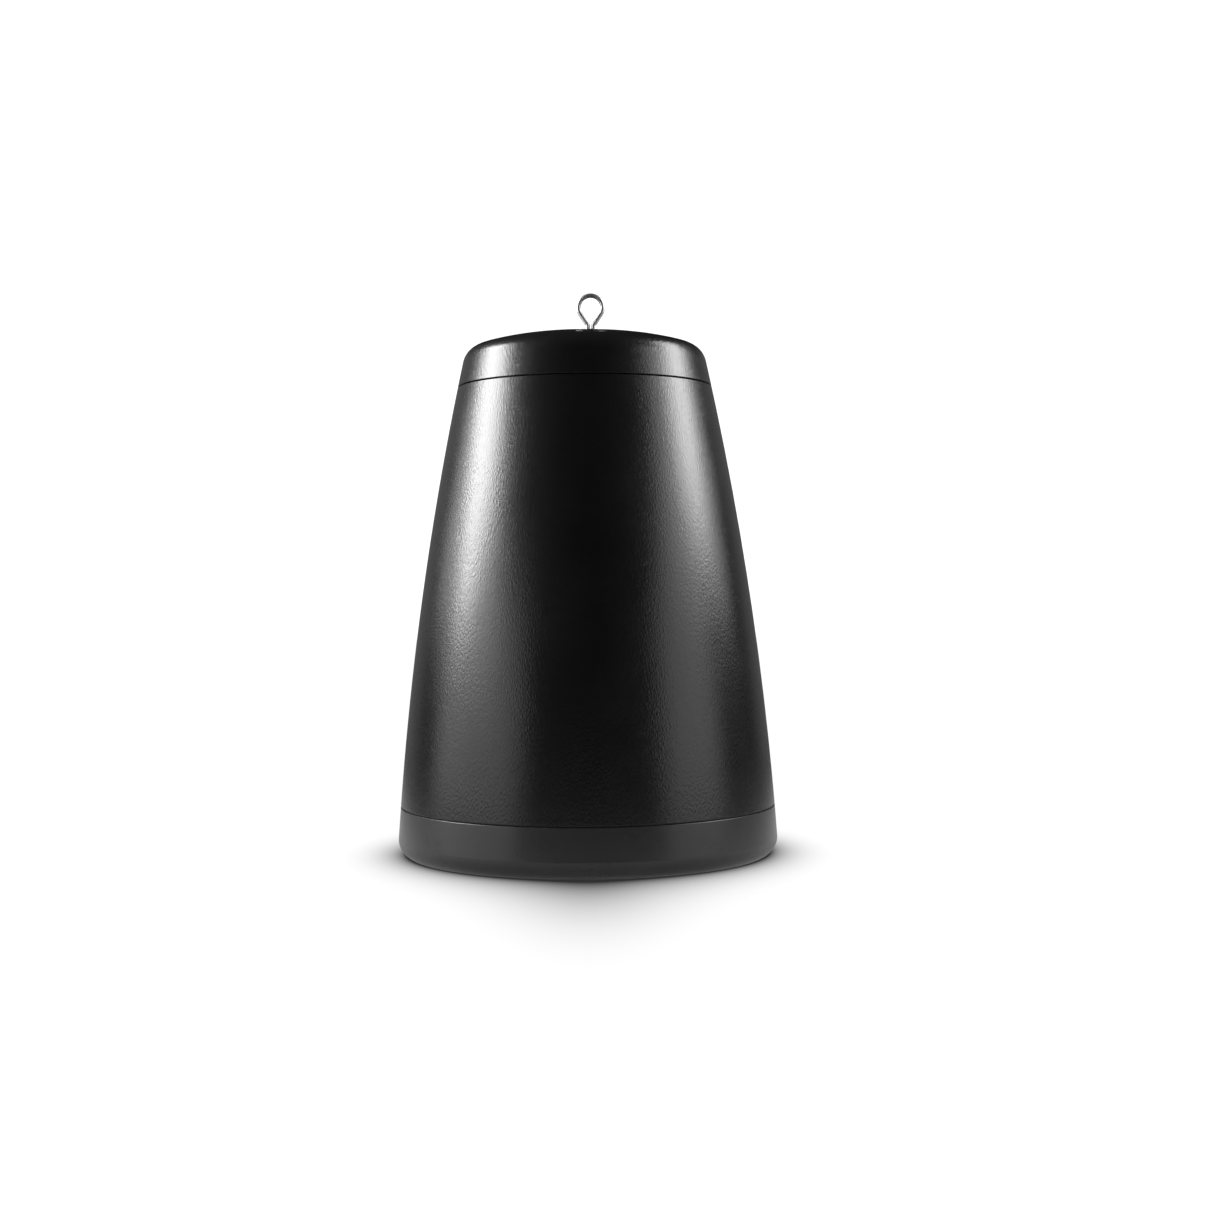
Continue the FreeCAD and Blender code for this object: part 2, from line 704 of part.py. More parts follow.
def crossover_board():
    board = block(-15, 50, -42, 42, BOARD_Z, BOARD_Z + BOARD_T)
    return board.cut(group([rod(x, y, BOARD_Z - 1, BOARD_Z + BOARD_T + 1, 1.7) for x, y in BOARD_POINTS]))


def board_spacers():
    low = PLATE_Z + PLATE_T + TOUCH
    return group([tube(x, y, low, BOARD_Z - TOUCH, 3.0, 1.7) for x, y in BOARD_POINTS])


def board_screws():
    return group([screw(x, y, ON_BOARD_Z, PLATE_Z - 1, *BOARD_SCREW) for x, y in BOARD_POINTS])


def inductors():
    large = tube(12, -20, ON_BOARD_Z, 322.0, 13.0, 6.0)
    small = tube(36, -16, ON_BOARD_Z, 320.0, 10.0, 5.0)
    return group([large, small])


def capacitors():
    large = Part.makeCylinder(7.0, 30.0, V(-8, 12, 316.2), V(1, 0, 0))
    small = Part.makeCylinder(5.5, 26.0, V(-6, 30, 314.7), V(1, 0, 0))
    film = block(24, 43, 8, 16, ON_BOARD_Z, 322.0)
    return group([large, small, film])


def resistor():
    return block(22, 45, 22, 31, ON_BOARD_Z, ON_BOARD_Z + 9)


def transformer_core():
    core = block(-28.5, 28.5, -12, 12, 250.0, 297.5)
    for x in (-19.0, 9.5):
        core = core.cut(block(x, x + 9.5, -13, 13, 259.5, 288.0))
    return core


def transformer_bobbin():
    body = block(-10.9, 10.9, -13.4, 13.4, 259.8, 287.7)
    for z in (259.8, 286.3):
        body = body.fuse(block(-18.7, 18.7, -21.5, 21.5, z, z + 1.4))
    return body.removeSplitter().cut(block(-9.8, 9.8, -12.3, 12.3, 258, 290))


def transformer_winding():
    body = block(-18.0, 18.0, -20.5, 20.5, 261.5, 286.0)
    edges = [e for e in body.Edges if abs(e.tangentAt(e.FirstParameter).z) > 0.9]
    return body.makeFillet(3.5, edges).cut(block(-11.2, 11.2, -13.7, 13.7, 258, 290))


def transformer_frame():
    strap = block(-30.3, 30.3, -11, 11, 248.2, 299.7).cut(block(-28.8, 28.8, -12, 12, 249.7, 300.0))
    for sign in (-1, 1):
        x0, x1 = sorted((sign * 30.0, sign * 46.0))
        strap = strap.fuse(block(x0, x1, -11, 11, 298.2, 299.7))
    strap = strap.removeSplitter()
    return strap.cut(group([rod(x, 0, 297, 301, 2.3) for x in (-FOOT_X, FOOT_X)]))


# ---- tap switch and terminal in the recess ------------------------------------------------------
def tap_x():
    return [(k - (TAPS - 1) / 2) * TAP_PITCH for k in range(TAPS)]


def tap_switch():
    body = block(-13, 13, SWITCH_Y - 13, SWITCH_Y + 13, 331.0, DECK_Z - TOUCH)
    body = body.fuse(rod(0, SWITCH_Y, DECK_Z - 1, 356.0, 4.5))
    for x in tap_x():
        body = body.fuse(block(x - 0.5, x + 0.5, SWITCH_Y - 1.5, SWITCH_Y + 1.5, TAP_TAG_Z, 332.0))
    return body.removeSplitter().cut(rod(0, SWITCH_Y, 340.0, 357.0, POST_ROD_R + FIT))


def tap_dial():
    top = DECK_Z + DECK_T
    return tube(0, SWITCH_Y, top + TOUCH, top + 1.1, 20.0, 4.8)


def tap_nut():
    low = DECK_Z + DECK_T + 1.4
    return hexagon(0, SWITCH_Y, low, low + 2.6, 12.0).cut(rod(0, SWITCH_Y, low - 1, low + 4, 4.5 + FIT))


def tap_knob():
    body = rod(0, SWITCH_Y, 354.6, 369.0, 10.0)
    body = body.makeFillet(1.0, [e for e in body.Edges if e.BoundBox.ZMin > 368.9])
    pointer = block(-1.6, 1.6, SWITCH_Y + 5, SWITCH_Y + 13.5, 355.6, 362.0)
    body = body.fuse(pointer)
    flutes = []
    for x, y in ring_points(11.4, 12, 15.0):
        flutes.append(rod(x, SWITCH_Y + y, 363.0, 371.0, 2.0))
    body = body.cut(group(flutes))
    body = body.cut(rod(0, SWITCH_Y, 354.0, 357.4, 8.0))
    return body.fuse(rod(0, SWITCH_Y, 341.0, 364.0, POST_ROD_R)).removeSplitter()


def pole_x():
    return [(k - (POLES - 1) / 2) * POLE_PITCH for k in range(POLES)]


def terminal_header():
    y = TERMINAL_Y
    body = block(-18, 18, y - 7, y + 7, 341.0, 361.0)
    body = body.fuse(block(-21, 21, y - 10, y + 10, 350.3, 352.0)).removeSplitter()
    body = body.cut(block(-16.4, 16.4, y - 5.4, y + 5.4, 352.6, 362.0))
    pins = [rod(x, y, 338.0, 359.6, 0.9) for x in pole_x()]
    return fused([body] + pins)


def terminal_plug():
    y = TERMINAL_Y
    nose = block(-16.0, 16.0, y - 5.0, y + 5.0, 353.0, 361.6)
    head = block(-17.6, 17.6, y - 7.5, y + 6.0, 361.3, 376.0)
    body = nose.fuse(head).removeSplitter()
    cuts = []
    for x in pole_x():
        cuts.append(rod(x, y, 352.0, 360.4, 1.2))
        cuts.append(Part.makeCylinder(1.7, 8.0, V(x, y - 8.5, 366.0), V(0, 1, 0)))
        cuts.append(rod(x, y + 1.0, 371.5, 377.0, 2.1))
    return body.cut(group(cuts))


def plug_screws():
    screws = []
    for x in pole_x():
        slotted = rod(x, TERMINAL_Y + 1.0, 371.8, 375.6, 1.8)
        slot = block(x - 2, x + 2, TERMINAL_Y + 0.7, TERMINAL_Y + 1.3, 374.8, 376.0)
        screws.append(slotted.cut(slot))
    return group(screws)


# ---- internal leads -----------------------------------------------------------------------------
def header_leads():
    """Two mains leads from the terminal's pins down to the transformer's winding."""
    leads = []
    for x, z in ((-3.8, 268.0), (3.8, 273.0)):
        leads.append(run([(x, TERMINAL_Y, 337.7), (x, TERMINAL_Y, z), (x, 21.0, z)], MAINS_LEAD_R))
    return group(leads)


def tap_leads():
    """One lead from each tag of the tap switch to the transformer's winding."""
    leads = []
    top = TAP_TAG_Z - TOUCH
    for x in tap_x():
        leads.append(run([(x, SWITCH_Y, top), (x, SWITCH_Y, 272.0), (x, -21.0, 272.0)], TAP_LEAD_R))
    return group(leads)


def board_leads():
    """Two leads from the winding up through the hole in the plate and down to the board."""
    leads = []
    for k in (0, 1):
        x = -14.0 + 4.0 * k
        y = 28.0 + 4.0 * k
        z = 276.0 + 4.0 * k
        route = [(x, 21.0, z), (x, y, z), (-25.0, y, z), (-25.0, y, 326.0), (-12.0, y, 326.0),
                 (-12.0, y, 309.0)]
        leads.append(run(route, MAINS_LEAD_R))
    return group(leads)


def woofer_leads():
    """Two leads from the board, over and down beside the plate, to the woofer's tabs."""
    leads = []
    for y in (-7.0, 7.0):
        route = [(71.4, y, 46.0), (WOOFER_LEAD_X, y, 46.0), (WOOFER_LEAD_X, y, LEAD_TOP_Z),
                 (46.8, y, LEAD_TOP_Z), (46.8, y, 309.0)]
        leads.append(run(route, SIGNAL_LEAD_R))
    return group(leads)


def tweeter_leads():
    """A twin lead from the board down to the hollow post, and through it to the tweeter."""
    x, y, z = TWEETER_LEAD_X, TWEETER_LEAD_Y, TWEETER_LEAD_Z
    route = [(46.0, y, 309.0), (46.0, y, LEAD_TOP_Z), (x, y, LEAD_TOP_Z), (x, y, z), (0.0, y, z),
             (0.0, 0.0, z), (0.0, 0.0, 43.0)]
    return run(route, SIGNAL_LEAD_R)


# ---- suspension ---------------------------------------------------------------------------------
def hanger_eye():
    """One formed wire: round loop, legs drawn in to two knees, then parallel down into the socket."""
    reach = math.hypot(LEG_X, LOOP_Z - KNEE_Z)
    lean = math.atan2(LEG_X, LOOP_Z - KNEE_Z)
    spread = math.acos(LOOP_R / reach)
    a = -math.pi / 2 + lean + spread
    touch = V(LOOP_R * math.cos(a), 0, LOOP_Z + LOOP_R * math.sin(a))
    knee = V(LEG_X, 0, KNEE_Z)
    to_touch = (touch - knee).normalize()
    down = V(0, 0, -1)
    half = to_touch.getAngle(down) / 2
    edges = []
    joints = {}
    for side, bend in ((-1, 3.2), (1, 2.2)):
        setback = bend / math.tan(half)
        low = knee + down * setback
        high = knee + to_touch * setback
        centre = knee + (to_touch + down).normalize() * (bend / math.sin(half))
        through = centre + (knee - centre).normalize() * bend
        points = [V(side * p.x, 0, p.z) for p in (low, through, high, touch)]
        joints[side] = points
    left = joints[-1]
    right = joints[1]
    foot = LEG_FOOT_Z
    edges.append(Part.LineSegment(V(-LEG_X, 0, foot), left[0]).toShape())
    edges.append(Part.Arc(left[0], left[1], left[2]).toShape())
    edges.append(Part.LineSegment(left[2], left[3]).toShape())
    edges.append(Part.Arc(left[3], V(0, 0, LOOP_Z + LOOP_R), right[3]).toShape())
    edges.append(Part.LineSegment(right[3], right[2]).toShape())
    edges.append(Part.Arc(right[2], right[1], right[0]).toShape())
    edges.append(Part.LineSegment(right[0], V(LEG_X, 0, foot)).toShape())
    section = Part.Wire(Part.makeCircle(WIRE_R, V(-LEG_X, 0, foot), V(0, 0, 1)))
    eye = Part.Wire(edges).makePipeShell([section], True, False)
    eye.translate(V(EYE_X, 0, 0))
    return eye


def eye_stud():
    head = hexagon(EYE_X, 0, 365.3, 379.0, 15.0)
    body = head.fuse(rod(EYE_X, 0, 352.5, 365.5, 5.0)).removeSplitter()
    sockets = [rod(EYE_X + x, 0, LEG_FOOT_Z - 0.3, 380.0, WIRE_R + FIT) for x in (-LEG_X, LEG_X)]
    return body.cut(group(sockets))


def eye_nut():
    washer = tube(EYE_X, 0, 360.2, 361.7, 10.0, 5.2)
    nut = hexagon(EYE_X, 0, 353.4, 359.9, 17.0).cut(rod(EYE_X, 0, 352, 361, 5.0 + FIT))
    return group([washer, nut])


def hanger_bracket():
    low = DECK_Z + DECK_T + TOUCH
    outline = [(-50, low), (-26, low), (-20, 362), (20, 362), (26, low), (50, low),
               (50, low + 3), (28.2, low + 3), (22.2, 365), (-22.2, 365), (-28.2, low + 3), (-50, low + 3)]
    corners = [V(EYE_X + x, -12.5, z) for x, z in outline]
    corners.append(corners[0])
    body = Part.Face(Part.makePolygon(corners)).extrude(V(0, 25, 0))
    cuts = [rod(EYE_X, 0, 350, 370, 5.3)]
    cuts += [rod(x, y, 349, 355, 3.2) for x, y in BRACKET_SCREW_POINTS]
    return body.cut(group(cuts))


def bracket_screws():
    seat = DECK_Z + DECK_T + TOUCH + 3 + TOUCH
    return group([screw(x, y, seat, DECK_Z - 8, *BRACKET_SCREW) for x, y in BRACKET_SCREW_POINTS])


SUB_PARTS = [
    cabinet_shell, top_cap, cap_seal, cable_grommet, front_baffle, baffle_gasket, baffle_screws,
    grille, port_tube, woofer_basket, woofer_top_plate, woofer_magnet, woofer_back_plate, woofer_cone,
    woofer_surround, woofer_spider, voice_coil_former, voice_coil, woofer_terminals, tinsel_leads,
    woofer_gasket, woofer_screws, tweeter_post, tweeter_post_nut, tweeter_housing, tweeter_yoke,
    tweeter_magnet, tweeter_front_plate, tweeter_dome, tweeter_coil, tweeter_surround, component_plate,
    plate_screws, crossover_board, board_spacers, board_screws, inductors, capacitors, resistor,
    transformer_core, transformer_bobbin, transformer_winding, transformer_frame, tap_switch, tap_dial,
    tap_nut, tap_knob, terminal_header, terminal_plug, plug_screws, header_leads, tap_leads,
    board_leads, woofer_leads, tweeter_leads, hanger_eye, eye_stud, eye_nut, hanger_bracket,
    bracket_screws,
]

for make in SUB_PARTS:
    make().exportStep("parts/" + make.__name__ + ".step")
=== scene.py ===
import math
import bmesh
import bpy
from mathutils import Matrix, Quaternion, Vector


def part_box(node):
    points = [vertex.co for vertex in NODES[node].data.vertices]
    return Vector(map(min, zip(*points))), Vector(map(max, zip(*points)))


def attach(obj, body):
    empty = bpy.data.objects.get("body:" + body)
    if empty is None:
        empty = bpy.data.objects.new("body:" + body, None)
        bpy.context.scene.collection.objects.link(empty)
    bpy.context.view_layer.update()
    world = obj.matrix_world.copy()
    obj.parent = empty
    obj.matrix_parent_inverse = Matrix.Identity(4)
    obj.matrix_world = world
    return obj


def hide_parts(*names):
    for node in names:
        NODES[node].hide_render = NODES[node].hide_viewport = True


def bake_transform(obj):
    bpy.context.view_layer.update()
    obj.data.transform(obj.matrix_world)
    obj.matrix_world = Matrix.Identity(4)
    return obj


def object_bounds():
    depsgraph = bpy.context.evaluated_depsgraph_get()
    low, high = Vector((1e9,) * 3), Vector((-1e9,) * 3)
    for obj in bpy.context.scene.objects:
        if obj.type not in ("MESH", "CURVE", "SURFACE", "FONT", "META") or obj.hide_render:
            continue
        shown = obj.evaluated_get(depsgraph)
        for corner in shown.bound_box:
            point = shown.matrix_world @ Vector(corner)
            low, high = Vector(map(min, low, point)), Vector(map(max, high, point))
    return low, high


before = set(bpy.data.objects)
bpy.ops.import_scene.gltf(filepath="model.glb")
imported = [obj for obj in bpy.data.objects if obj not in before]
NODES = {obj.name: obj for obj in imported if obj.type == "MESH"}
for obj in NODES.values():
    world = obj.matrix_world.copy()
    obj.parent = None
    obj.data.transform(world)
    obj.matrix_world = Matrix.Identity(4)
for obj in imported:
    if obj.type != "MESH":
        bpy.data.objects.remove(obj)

CAD_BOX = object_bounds()
MM = 0.001
NOISE_LOW, NOISE_HIGH = 0.3, 0.7     # nearly all of a noise's values lie between these

# ---- camera: in front of the object, at -Y; metres, millimetres for the lens ----------------------
CAMERA_DISTANCE = 1.400
CAMERA_HEIGHT = 0.2070
CAMERA_LENS = 52.63
CAMERA_SENSOR = 36.0
CAMERA_YAW = 0.662       # degrees to the right of the object's axis
CAMERA_PITCH = -0.613    # degrees, a touch downwards
CAMERA_ROLL = -0.436     # degrees


def make_camera():
    data = bpy.data.cameras.new("camera")
    data.lens = CAMERA_LENS
    data.sensor_width = CAMERA_SENSOR
    data.clip_end = 50.0
    camera = bpy.data.objects.new("camera", data)
    bpy.context.scene.collection.objects.link(camera)
    place = Matrix.Translation((0.0, -CAMERA_DISTANCE, CAMERA_HEIGHT))
    yaw = Matrix.Rotation(math.radians(-CAMERA_YAW), 4, "Z")
    pitch = Matrix.Rotation(math.radians(90.0 + CAMERA_PITCH), 4, "X")
    roll = Matrix.Rotation(math.radians(CAMERA_ROLL), 4, "Z")
    camera.matrix_world = place @ yaw @ pitch @ roll
    bpy.context.scene.camera = camera


# ---- node helpers ---------------------------------------------------------------------------------
class Shader:
    """One procedural material: a principled shader and short calls for the nodes that feed it."""

    def __init__(self, name):
        self.material = bpy.data.materials.new(name)
        self.material.use_nodes = True
        self.tree = self.material.node_tree
        self.tree.nodes.clear()
        self.bsdf = self.add("ShaderNodeBsdfPrincipled")
        self.output = self.add("ShaderNodeOutputMaterial")
        self.feed(self.output.inputs["Surface"], self.bsdf.outputs["BSDF"])
        self.place = self.add("ShaderNodeTexCoord").outputs["Object"]

    def add(self, kind):
        return self.tree.nodes.new(kind)

    def feed(self, socket, value):
        if isinstance(value, bpy.types.NodeSocket):
            self.tree.links.new(value, socket)
        else:
            socket.default_value = value

    def set(self, **values):
        """Sets or links inputs of the principled shader, with _ for each space in their names."""
        for name, value in values.items():
            self.feed(self.bsdf.inputs[name.replace("_", " ")], value)

    def math(self, operation, a, b=0.0, c=0.0):
        node = self.add("ShaderNodeMath")
        node.operation = operation
        for socket, value in zip(node.inputs, (a, b, c)):
            self.feed(socket, value)
        return node.outputs[0]

    def stretch(self, scale, turn=(0.0, 0.0, 0.0), place=None):
        node = self.add("ShaderNodeMapping")
        self.feed(node.inputs["Vector"], place or self.place)
        node.inputs["Scale"].default_value = scale
        node.inputs["Rotation"].default_value = turn
        return node.outputs[0]

    def noise(self, size, detail=3.0, rough=0.55, place=None):
        """Noise whose grains are about size metres across."""
        node = self.add("ShaderNodeTexNoise")
        self.feed(node.inputs["Vector"], place or self.place)
        node.inputs["Scale"].default_value = 1.0 / size
        node.inputs["Detail"].default_value = detail
        node.inputs["Roughness"].default_value = rough
        return node.outputs[0]

    def cells(self, size, feature="F1", place=None, metric="EUCLIDEAN"):
        """Distance within cells of about size metres."""
        node = self.add("ShaderNodeTexVoronoi")
        node.feature = feature
        if feature != "DISTANCE_TO_EDGE":
            node.distance = metric
        self.feed(node.inputs["Vector"], place or self.place)
        node.inputs["Scale"].default_value = 1.0 / size
        return node.outputs["Distance"]

    def crystals(self, size):
        """A number from 0 to 1 that is constant within each cell of about size metres."""
        node = self.add("ShaderNodeTexVoronoi")
        self.feed(node.inputs["Vector"], self.place)
        node.inputs["Scale"].default_value = 1.0 / size
        split = self.add("ShaderNodeSeparateColor")
        self.feed(split.inputs[0], node.outputs["Color"])
        return split.outputs[0]

    def axes(self):
        """The place on the object, along x, y and z in metres."""
        split = self.add("ShaderNodeSeparateXYZ")
        self.feed(split.inputs[0], self.place)
        return split.outputs

    def facing(self):
        """The surface's direction along x, y and z."""
        split = self.add("ShaderNodeSeparateXYZ")
        self.feed(split.inputs[0], self.add("ShaderNodeTexCoord").outputs["Normal"])
        return split.outputs

    def choose(self, share, a, b):
        """a where share is 0 and b where it is 1."""
        node = self.add("ShaderNodeMix")
        for socket, value in zip((node.inputs[0], node.inputs[2], node.inputs[3]), (share, a, b)):
            self.feed(socket, value)
        return node.outputs[0]

    def spread(self, value, low, high, to_low=0.0, to_high=1.0):
        """The range from low to high, moved to the range from to_low to to_high and held there."""
        node = self.add("ShaderNodeMapRange")
        ends = {"From Min": low, "From Max": high, "To Min": to_low, "To Max": to_high}
        for name, number in ends.items():
            node.inputs[name].default_value = number
        self.feed(node.inputs["Value"], value)
        return node.outputs["Result"]

    def span(self, noise, to_low=0.0, to_high=1.0):
        """A noise's usual range, moved to the range from to_low to to_high."""
        return self.spread(noise, NOISE_LOW, NOISE_HIGH, to_low, to_high)

    def mix(self, share, a, b, blend="MIX"):
        """Colour a where share is 0 and b where it is 1."""
        node = self.add("ShaderNodeMix")
        node.data_type = "RGBA"
        node.blend_type = blend
        self.feed(node.inputs[0], share)
        for socket, colour in ((node.inputs[6], a), (node.inputs[7], b)):
            self.feed(socket, colour if isinstance(colour, bpy.types.NodeSocket) else (*colour, 1.0))
        return node.outputs[2]

    def bump(self, height, depth, strength=1.0):
        node = self.add("ShaderNodeBump")
        node.inputs["Strength"].default_value = strength
        node.inputs["Distance"].default_value = depth
        self.feed(node.inputs["Height"], height)
        return node.outputs[0]


def paint(material, *names):
    for name in names:
        mesh = NODES[name].data
        mesh.materials.clear()
        mesh.materials.append(material)


# ---- materials --------------------------------------------------------------------------------------
def grained_black():
    """Black moulded shell: fine leather grain, a little uneven in gloss."""
    s = Shader("shell_black")
    lean = s.stretch((1.0, 1.0, 0.45), (0.0, 0.45, 0.0))
    swell = s.noise(3.0 * MM, 2.0, 0.5)
    creases = s.cells(1.9 * MM, "DISTANCE_TO_EDGE", place=lean)
    pebble = s.spread(creases, 0.0, 0.35)
    fine = s.noise(1.1 * MM, 3.0, 0.6, place=lean)
    height = s.math("MULTIPLY_ADD", fine, 1.1, s.math("MULTIPLY", pebble, 0.55))
    height = s.math("MULTIPLY_ADD", swell, 0.2, height)
    patch = s.noise(45 * MM, 2.0, 0.5)
    s.set(
        Base_Color=s.mix(s.span(patch), (0.0038, 0.0038, 0.0040), (0.0050, 0.0050, 0.0052)),
        Roughness=s.math("ADD", s.span(patch, 0.215, 0.240), s.span(fine, -0.01, 0.02)),
        Normal=s.bump(height, 0.085 * MM, 1.0),
    )
    return s.material


def satin_black():
    """The bottom ring: smoother than the shell, and a little lighter in colour, which is painted light from
    the floor below.
    """
    s = Shader("ring_black")
    fine = s.noise(0.5 * MM, 3.0, 0.6)
    patch = s.noise(30 * MM, 2.0, 0.5)
    s.set(
        # base colour lighter than the shell's: painted light from the floor below
        Base_Color=s.mix(s.span(patch), (0.0110, 0.0110, 0.0113), (0.0130, 0.0130, 0.0133)),
        Roughness=s.math("ADD", s.span(patch, 0.27, 0.30), s.span(fine, -0.01, 0.02)),
        Normal=s.bump(fine, 0.02 * MM, 0.35),
    )
    return s.material


def metal(name, dark, light, rough, brush=(1.0, 1.0, 1.0), grain=0.5 * MM, cloud=8 * MM):
    """Bare or plated metal; its scratches run along the axis that brush shortens, its tone drifts slowly."""
    s = Shader(name)
    scratch = s.noise(grain, 4.0, 0.6, place=s.stretch(brush))
    drift = s.noise(cloud, 2.0, 0.5)
    s.set(
        Base_Color=s.mix(s.spread(drift, 0.35, 0.65), dark, light),
        Metallic=1.0,
        Roughness=s.math("ADD", s.span(scratch, *rough), s.span(drift, -0.03, 0.03)),
        Normal=s.bump(scratch, 0.012 * MM, 0.6),
    )
    return s.material


def galvanised(name):
    """Zinc-dipped sheet with its flat crystals."""
    s = Shader(name)
    flake = s.crystals(7 * MM)
    fine = s.noise(0.6 * MM, 3.0, 0.6)
    s.set(
        Base_Color=s.mix(flake, (0.42, 0.43, 0.44), (0.62, 0.63, 0.64)),
        Metallic=1.0,
        Roughness=s.math("ADD", s.spread(flake, 0.0, 1.0, 0.30, 0.48), s.span(fine, -0.03, 0.03)),
        Normal=s.bump(fine, 0.01 * MM, 0.5),
    )
    return s.material


def moulded(name, dark, light, rough, grain=0.5 * MM, depth=0.02 * MM, patch=12 * MM):
    """Moulded plastic, paint or rubber: fine grain, slow drift in tone and gloss."""
    s = Shader(name)
    fine = s.noise(grain, 3.0, 0.6)
    drift = s.noise(patch, 2.0, 0.5)
    s.set(
        Base_Color=s.mix(s.span(drift), dark, light),
        Roughness=s.math("ADD", s.span(drift, *rough), s.span(fine, -0.02, 0.02)),
        Normal=s.bump(fine, depth, 0.6),
    )
    return s.material


def bright_wire():
    """Drawn wire of the hanging eye."""
    s = Shader("wire_bright")
    draw = s.noise(1.0 * MM, 2.0, 0.5, place=s.stretch((1.0, 1.0, 0.1)))
    s.set(
        Base_Color=s.mix(s.span(draw), (0.36, 0.36, 0.37), (0.46, 0.46, 0.47)),
        Metallic=1.0,
        Roughness=s.span(draw, 0.42, 0.52),
        Normal=s.bump(draw, 0.02 * MM, 0.5),
    )
    return s.material


def powder_coat():
    """Grille paint: orange-peel powder coat."""
    s = Shader("grille_paint")
    peel = s.noise(0.8 * MM, 2.0, 0.5)
    s.set(
        Base_Color=s.mix(s.span(peel), (0.010, 0.010, 0.010), (0.018, 0.018, 0.018)),
        Roughness=s.span(peel, 0.42, 0.52),
        Normal=s.bump(peel, 0.03 * MM, 0.7),
    )
    return s.material


def ferrite():
    """Ground ceramic magnet."""
    s = Shader("ferrite")
    speck = s.cells(0.8 * MM)
    grind = s.noise(0.4 * MM, 4.0, 0.7, place=s.stretch((0.2, 1.0, 1.0)))
    s.set(
        Base_Color=s.mix(s.spread(speck, 0.1, 0.8), (0.045, 0.045, 0.050), (0.085, 0.085, 0.090)),
        Roughness=s.span(grind, 0.50, 0.68),
        Normal=s.bump(s.math("ADD", speck, grind), 0.02 * MM, 0.6),
    )
    return s.material


def paper_cone():
    """Pressed pulp: short fibres in every direction under a thin dark coat."""
    s = Shader("cone_pulp")
    first = s.noise(0.5 * MM, 3.0, 0.6, place=s.stretch((1.0, 0.18, 1.0), (0.0, 0.0, 0.6)))
    second = s.noise(0.5 * MM, 3.0, 0.6, place=s.stretch((0.18, 1.0, 1.0), (0.0, 0.0, 0.3)))
    fibre = s.math("MAXIMUM", first, second)
    s.set(
        Base_Color=s.mix(s.spread(fibre, 0.50, 0.72), (0.016, 0.016, 0.017), (0.060, 0.059, 0.057)),
        Roughness=s.spread(fibre, 0.45, 0.75, 0.62, 0.80),
        Normal=s.bump(fibre, 0.05 * MM, 0.8),
    )
    return s.material


def woven(name, dark, light, pitch, rough):
    """Plain weave of two threads, each the pitch apart."""
    s = Shader(name)
    x, y, _ = s.axes()
    warp = s.math("SINE", s.math("MULTIPLY", x, math.tau / pitch))
    weft = s.math("SINE", s.math("MULTIPLY", y, math.tau / pitch))
    over = s.math("MULTIPLY", warp, weft)
    fuzz = s.noise(0.3 * MM, 3.0, 0.6)
    s.set(
        Base_Color=s.mix(s.math("MULTIPLY", s.spread(over, -1.0, 1.0), fuzz), dark, light),
        Roughness=s.span(fuzz, *rough),
        Normal=s.bump(s.math("MULTIPLY_ADD", fuzz, 0.4, over), 0.06 * MM, 0.8),
    )
    return s.material


def soft_rubber():
    """The woofer's surround, with a faint bloom."""
    s = Shader("surround_rubber")
    fine = s.noise(0.4 * MM, 3.0, 0.6)
    bloom = s.noise(9 * MM, 3.0, 0.55)
    s.set(
        Base_Color=s.mix(s.span(bloom), (0.014, 0.014, 0.015), (0.026, 0.026, 0.027)),
        Roughness=s.span(bloom, 0.50, 0.62),
        Normal=s.bump(fine, 0.02 * MM, 0.5),
    )
    return s.material


def foam():
    """Closed-cell foam tape."""
    s = Shader("gasket_foam")
    cell = s.cells(0.7 * MM)
    tone = s.noise(6 * MM, 2.0, 0.5)
    s.set(
        Base_Color=s.mix(s.spread(cell, 0.0, 0.6), (0.006, 0.006, 0.006), (0.030, 0.030, 0.031)),
        Roughness=s.span(tone, 0.82, 0.92),
        Normal=s.bump(cell, 0.15 * MM, 0.9),
    )
    return s.material


ANYWHERE = 1.0           # a limit that lies beyond the whole object
CHOKES = [(12 * MM, -20 * MM, 25.5 * MM), (36 * MM, -16 * MM, ANYWHERE)]


def wound_copper(name, pitch, centres):
    """Enamelled wire wound about upright axes; each centre is (x, y, the x below which it applies)."""
    s = Shader(name)
    x, y, z = s.axes()
    far = None
    for cx, cy, limit in reversed(centres):
        dx = s.math("SUBTRACT", x, cx)
        dy = s.math("SUBTRACT", y, cy)
        r = s.math("SQRT", s.math("ADD", s.math("MULTIPLY", dx, dx), s.math("MULTIPLY", dy, dy)))
        far = r if far is None else s.choose(s.math("LESS_THAN", x, limit), far, r)
    turns = s.math("ADD", z, far)
    ridge = s.math("ABSOLUTE", s.math("SINE", s.math("MULTIPLY", turns, math.pi / pitch)))
    tone = s.noise(2 * MM, 2.0, 0.5)
    copper = s.mix(s.span(tone), (0.42, 0.15, 0.055), (0.62, 0.26, 0.10))
    s.set(
        Base_Color=s.mix(s.spread(ridge, 0.0, 0.5), (0.10, 0.035, 0.015), copper),
        Metallic=0.85,
        Roughness=s.span(tone, 0.24, 0.34),
        Normal=s.bump(ridge, 0.10 * MM, 0.9),
    )
    return s.material


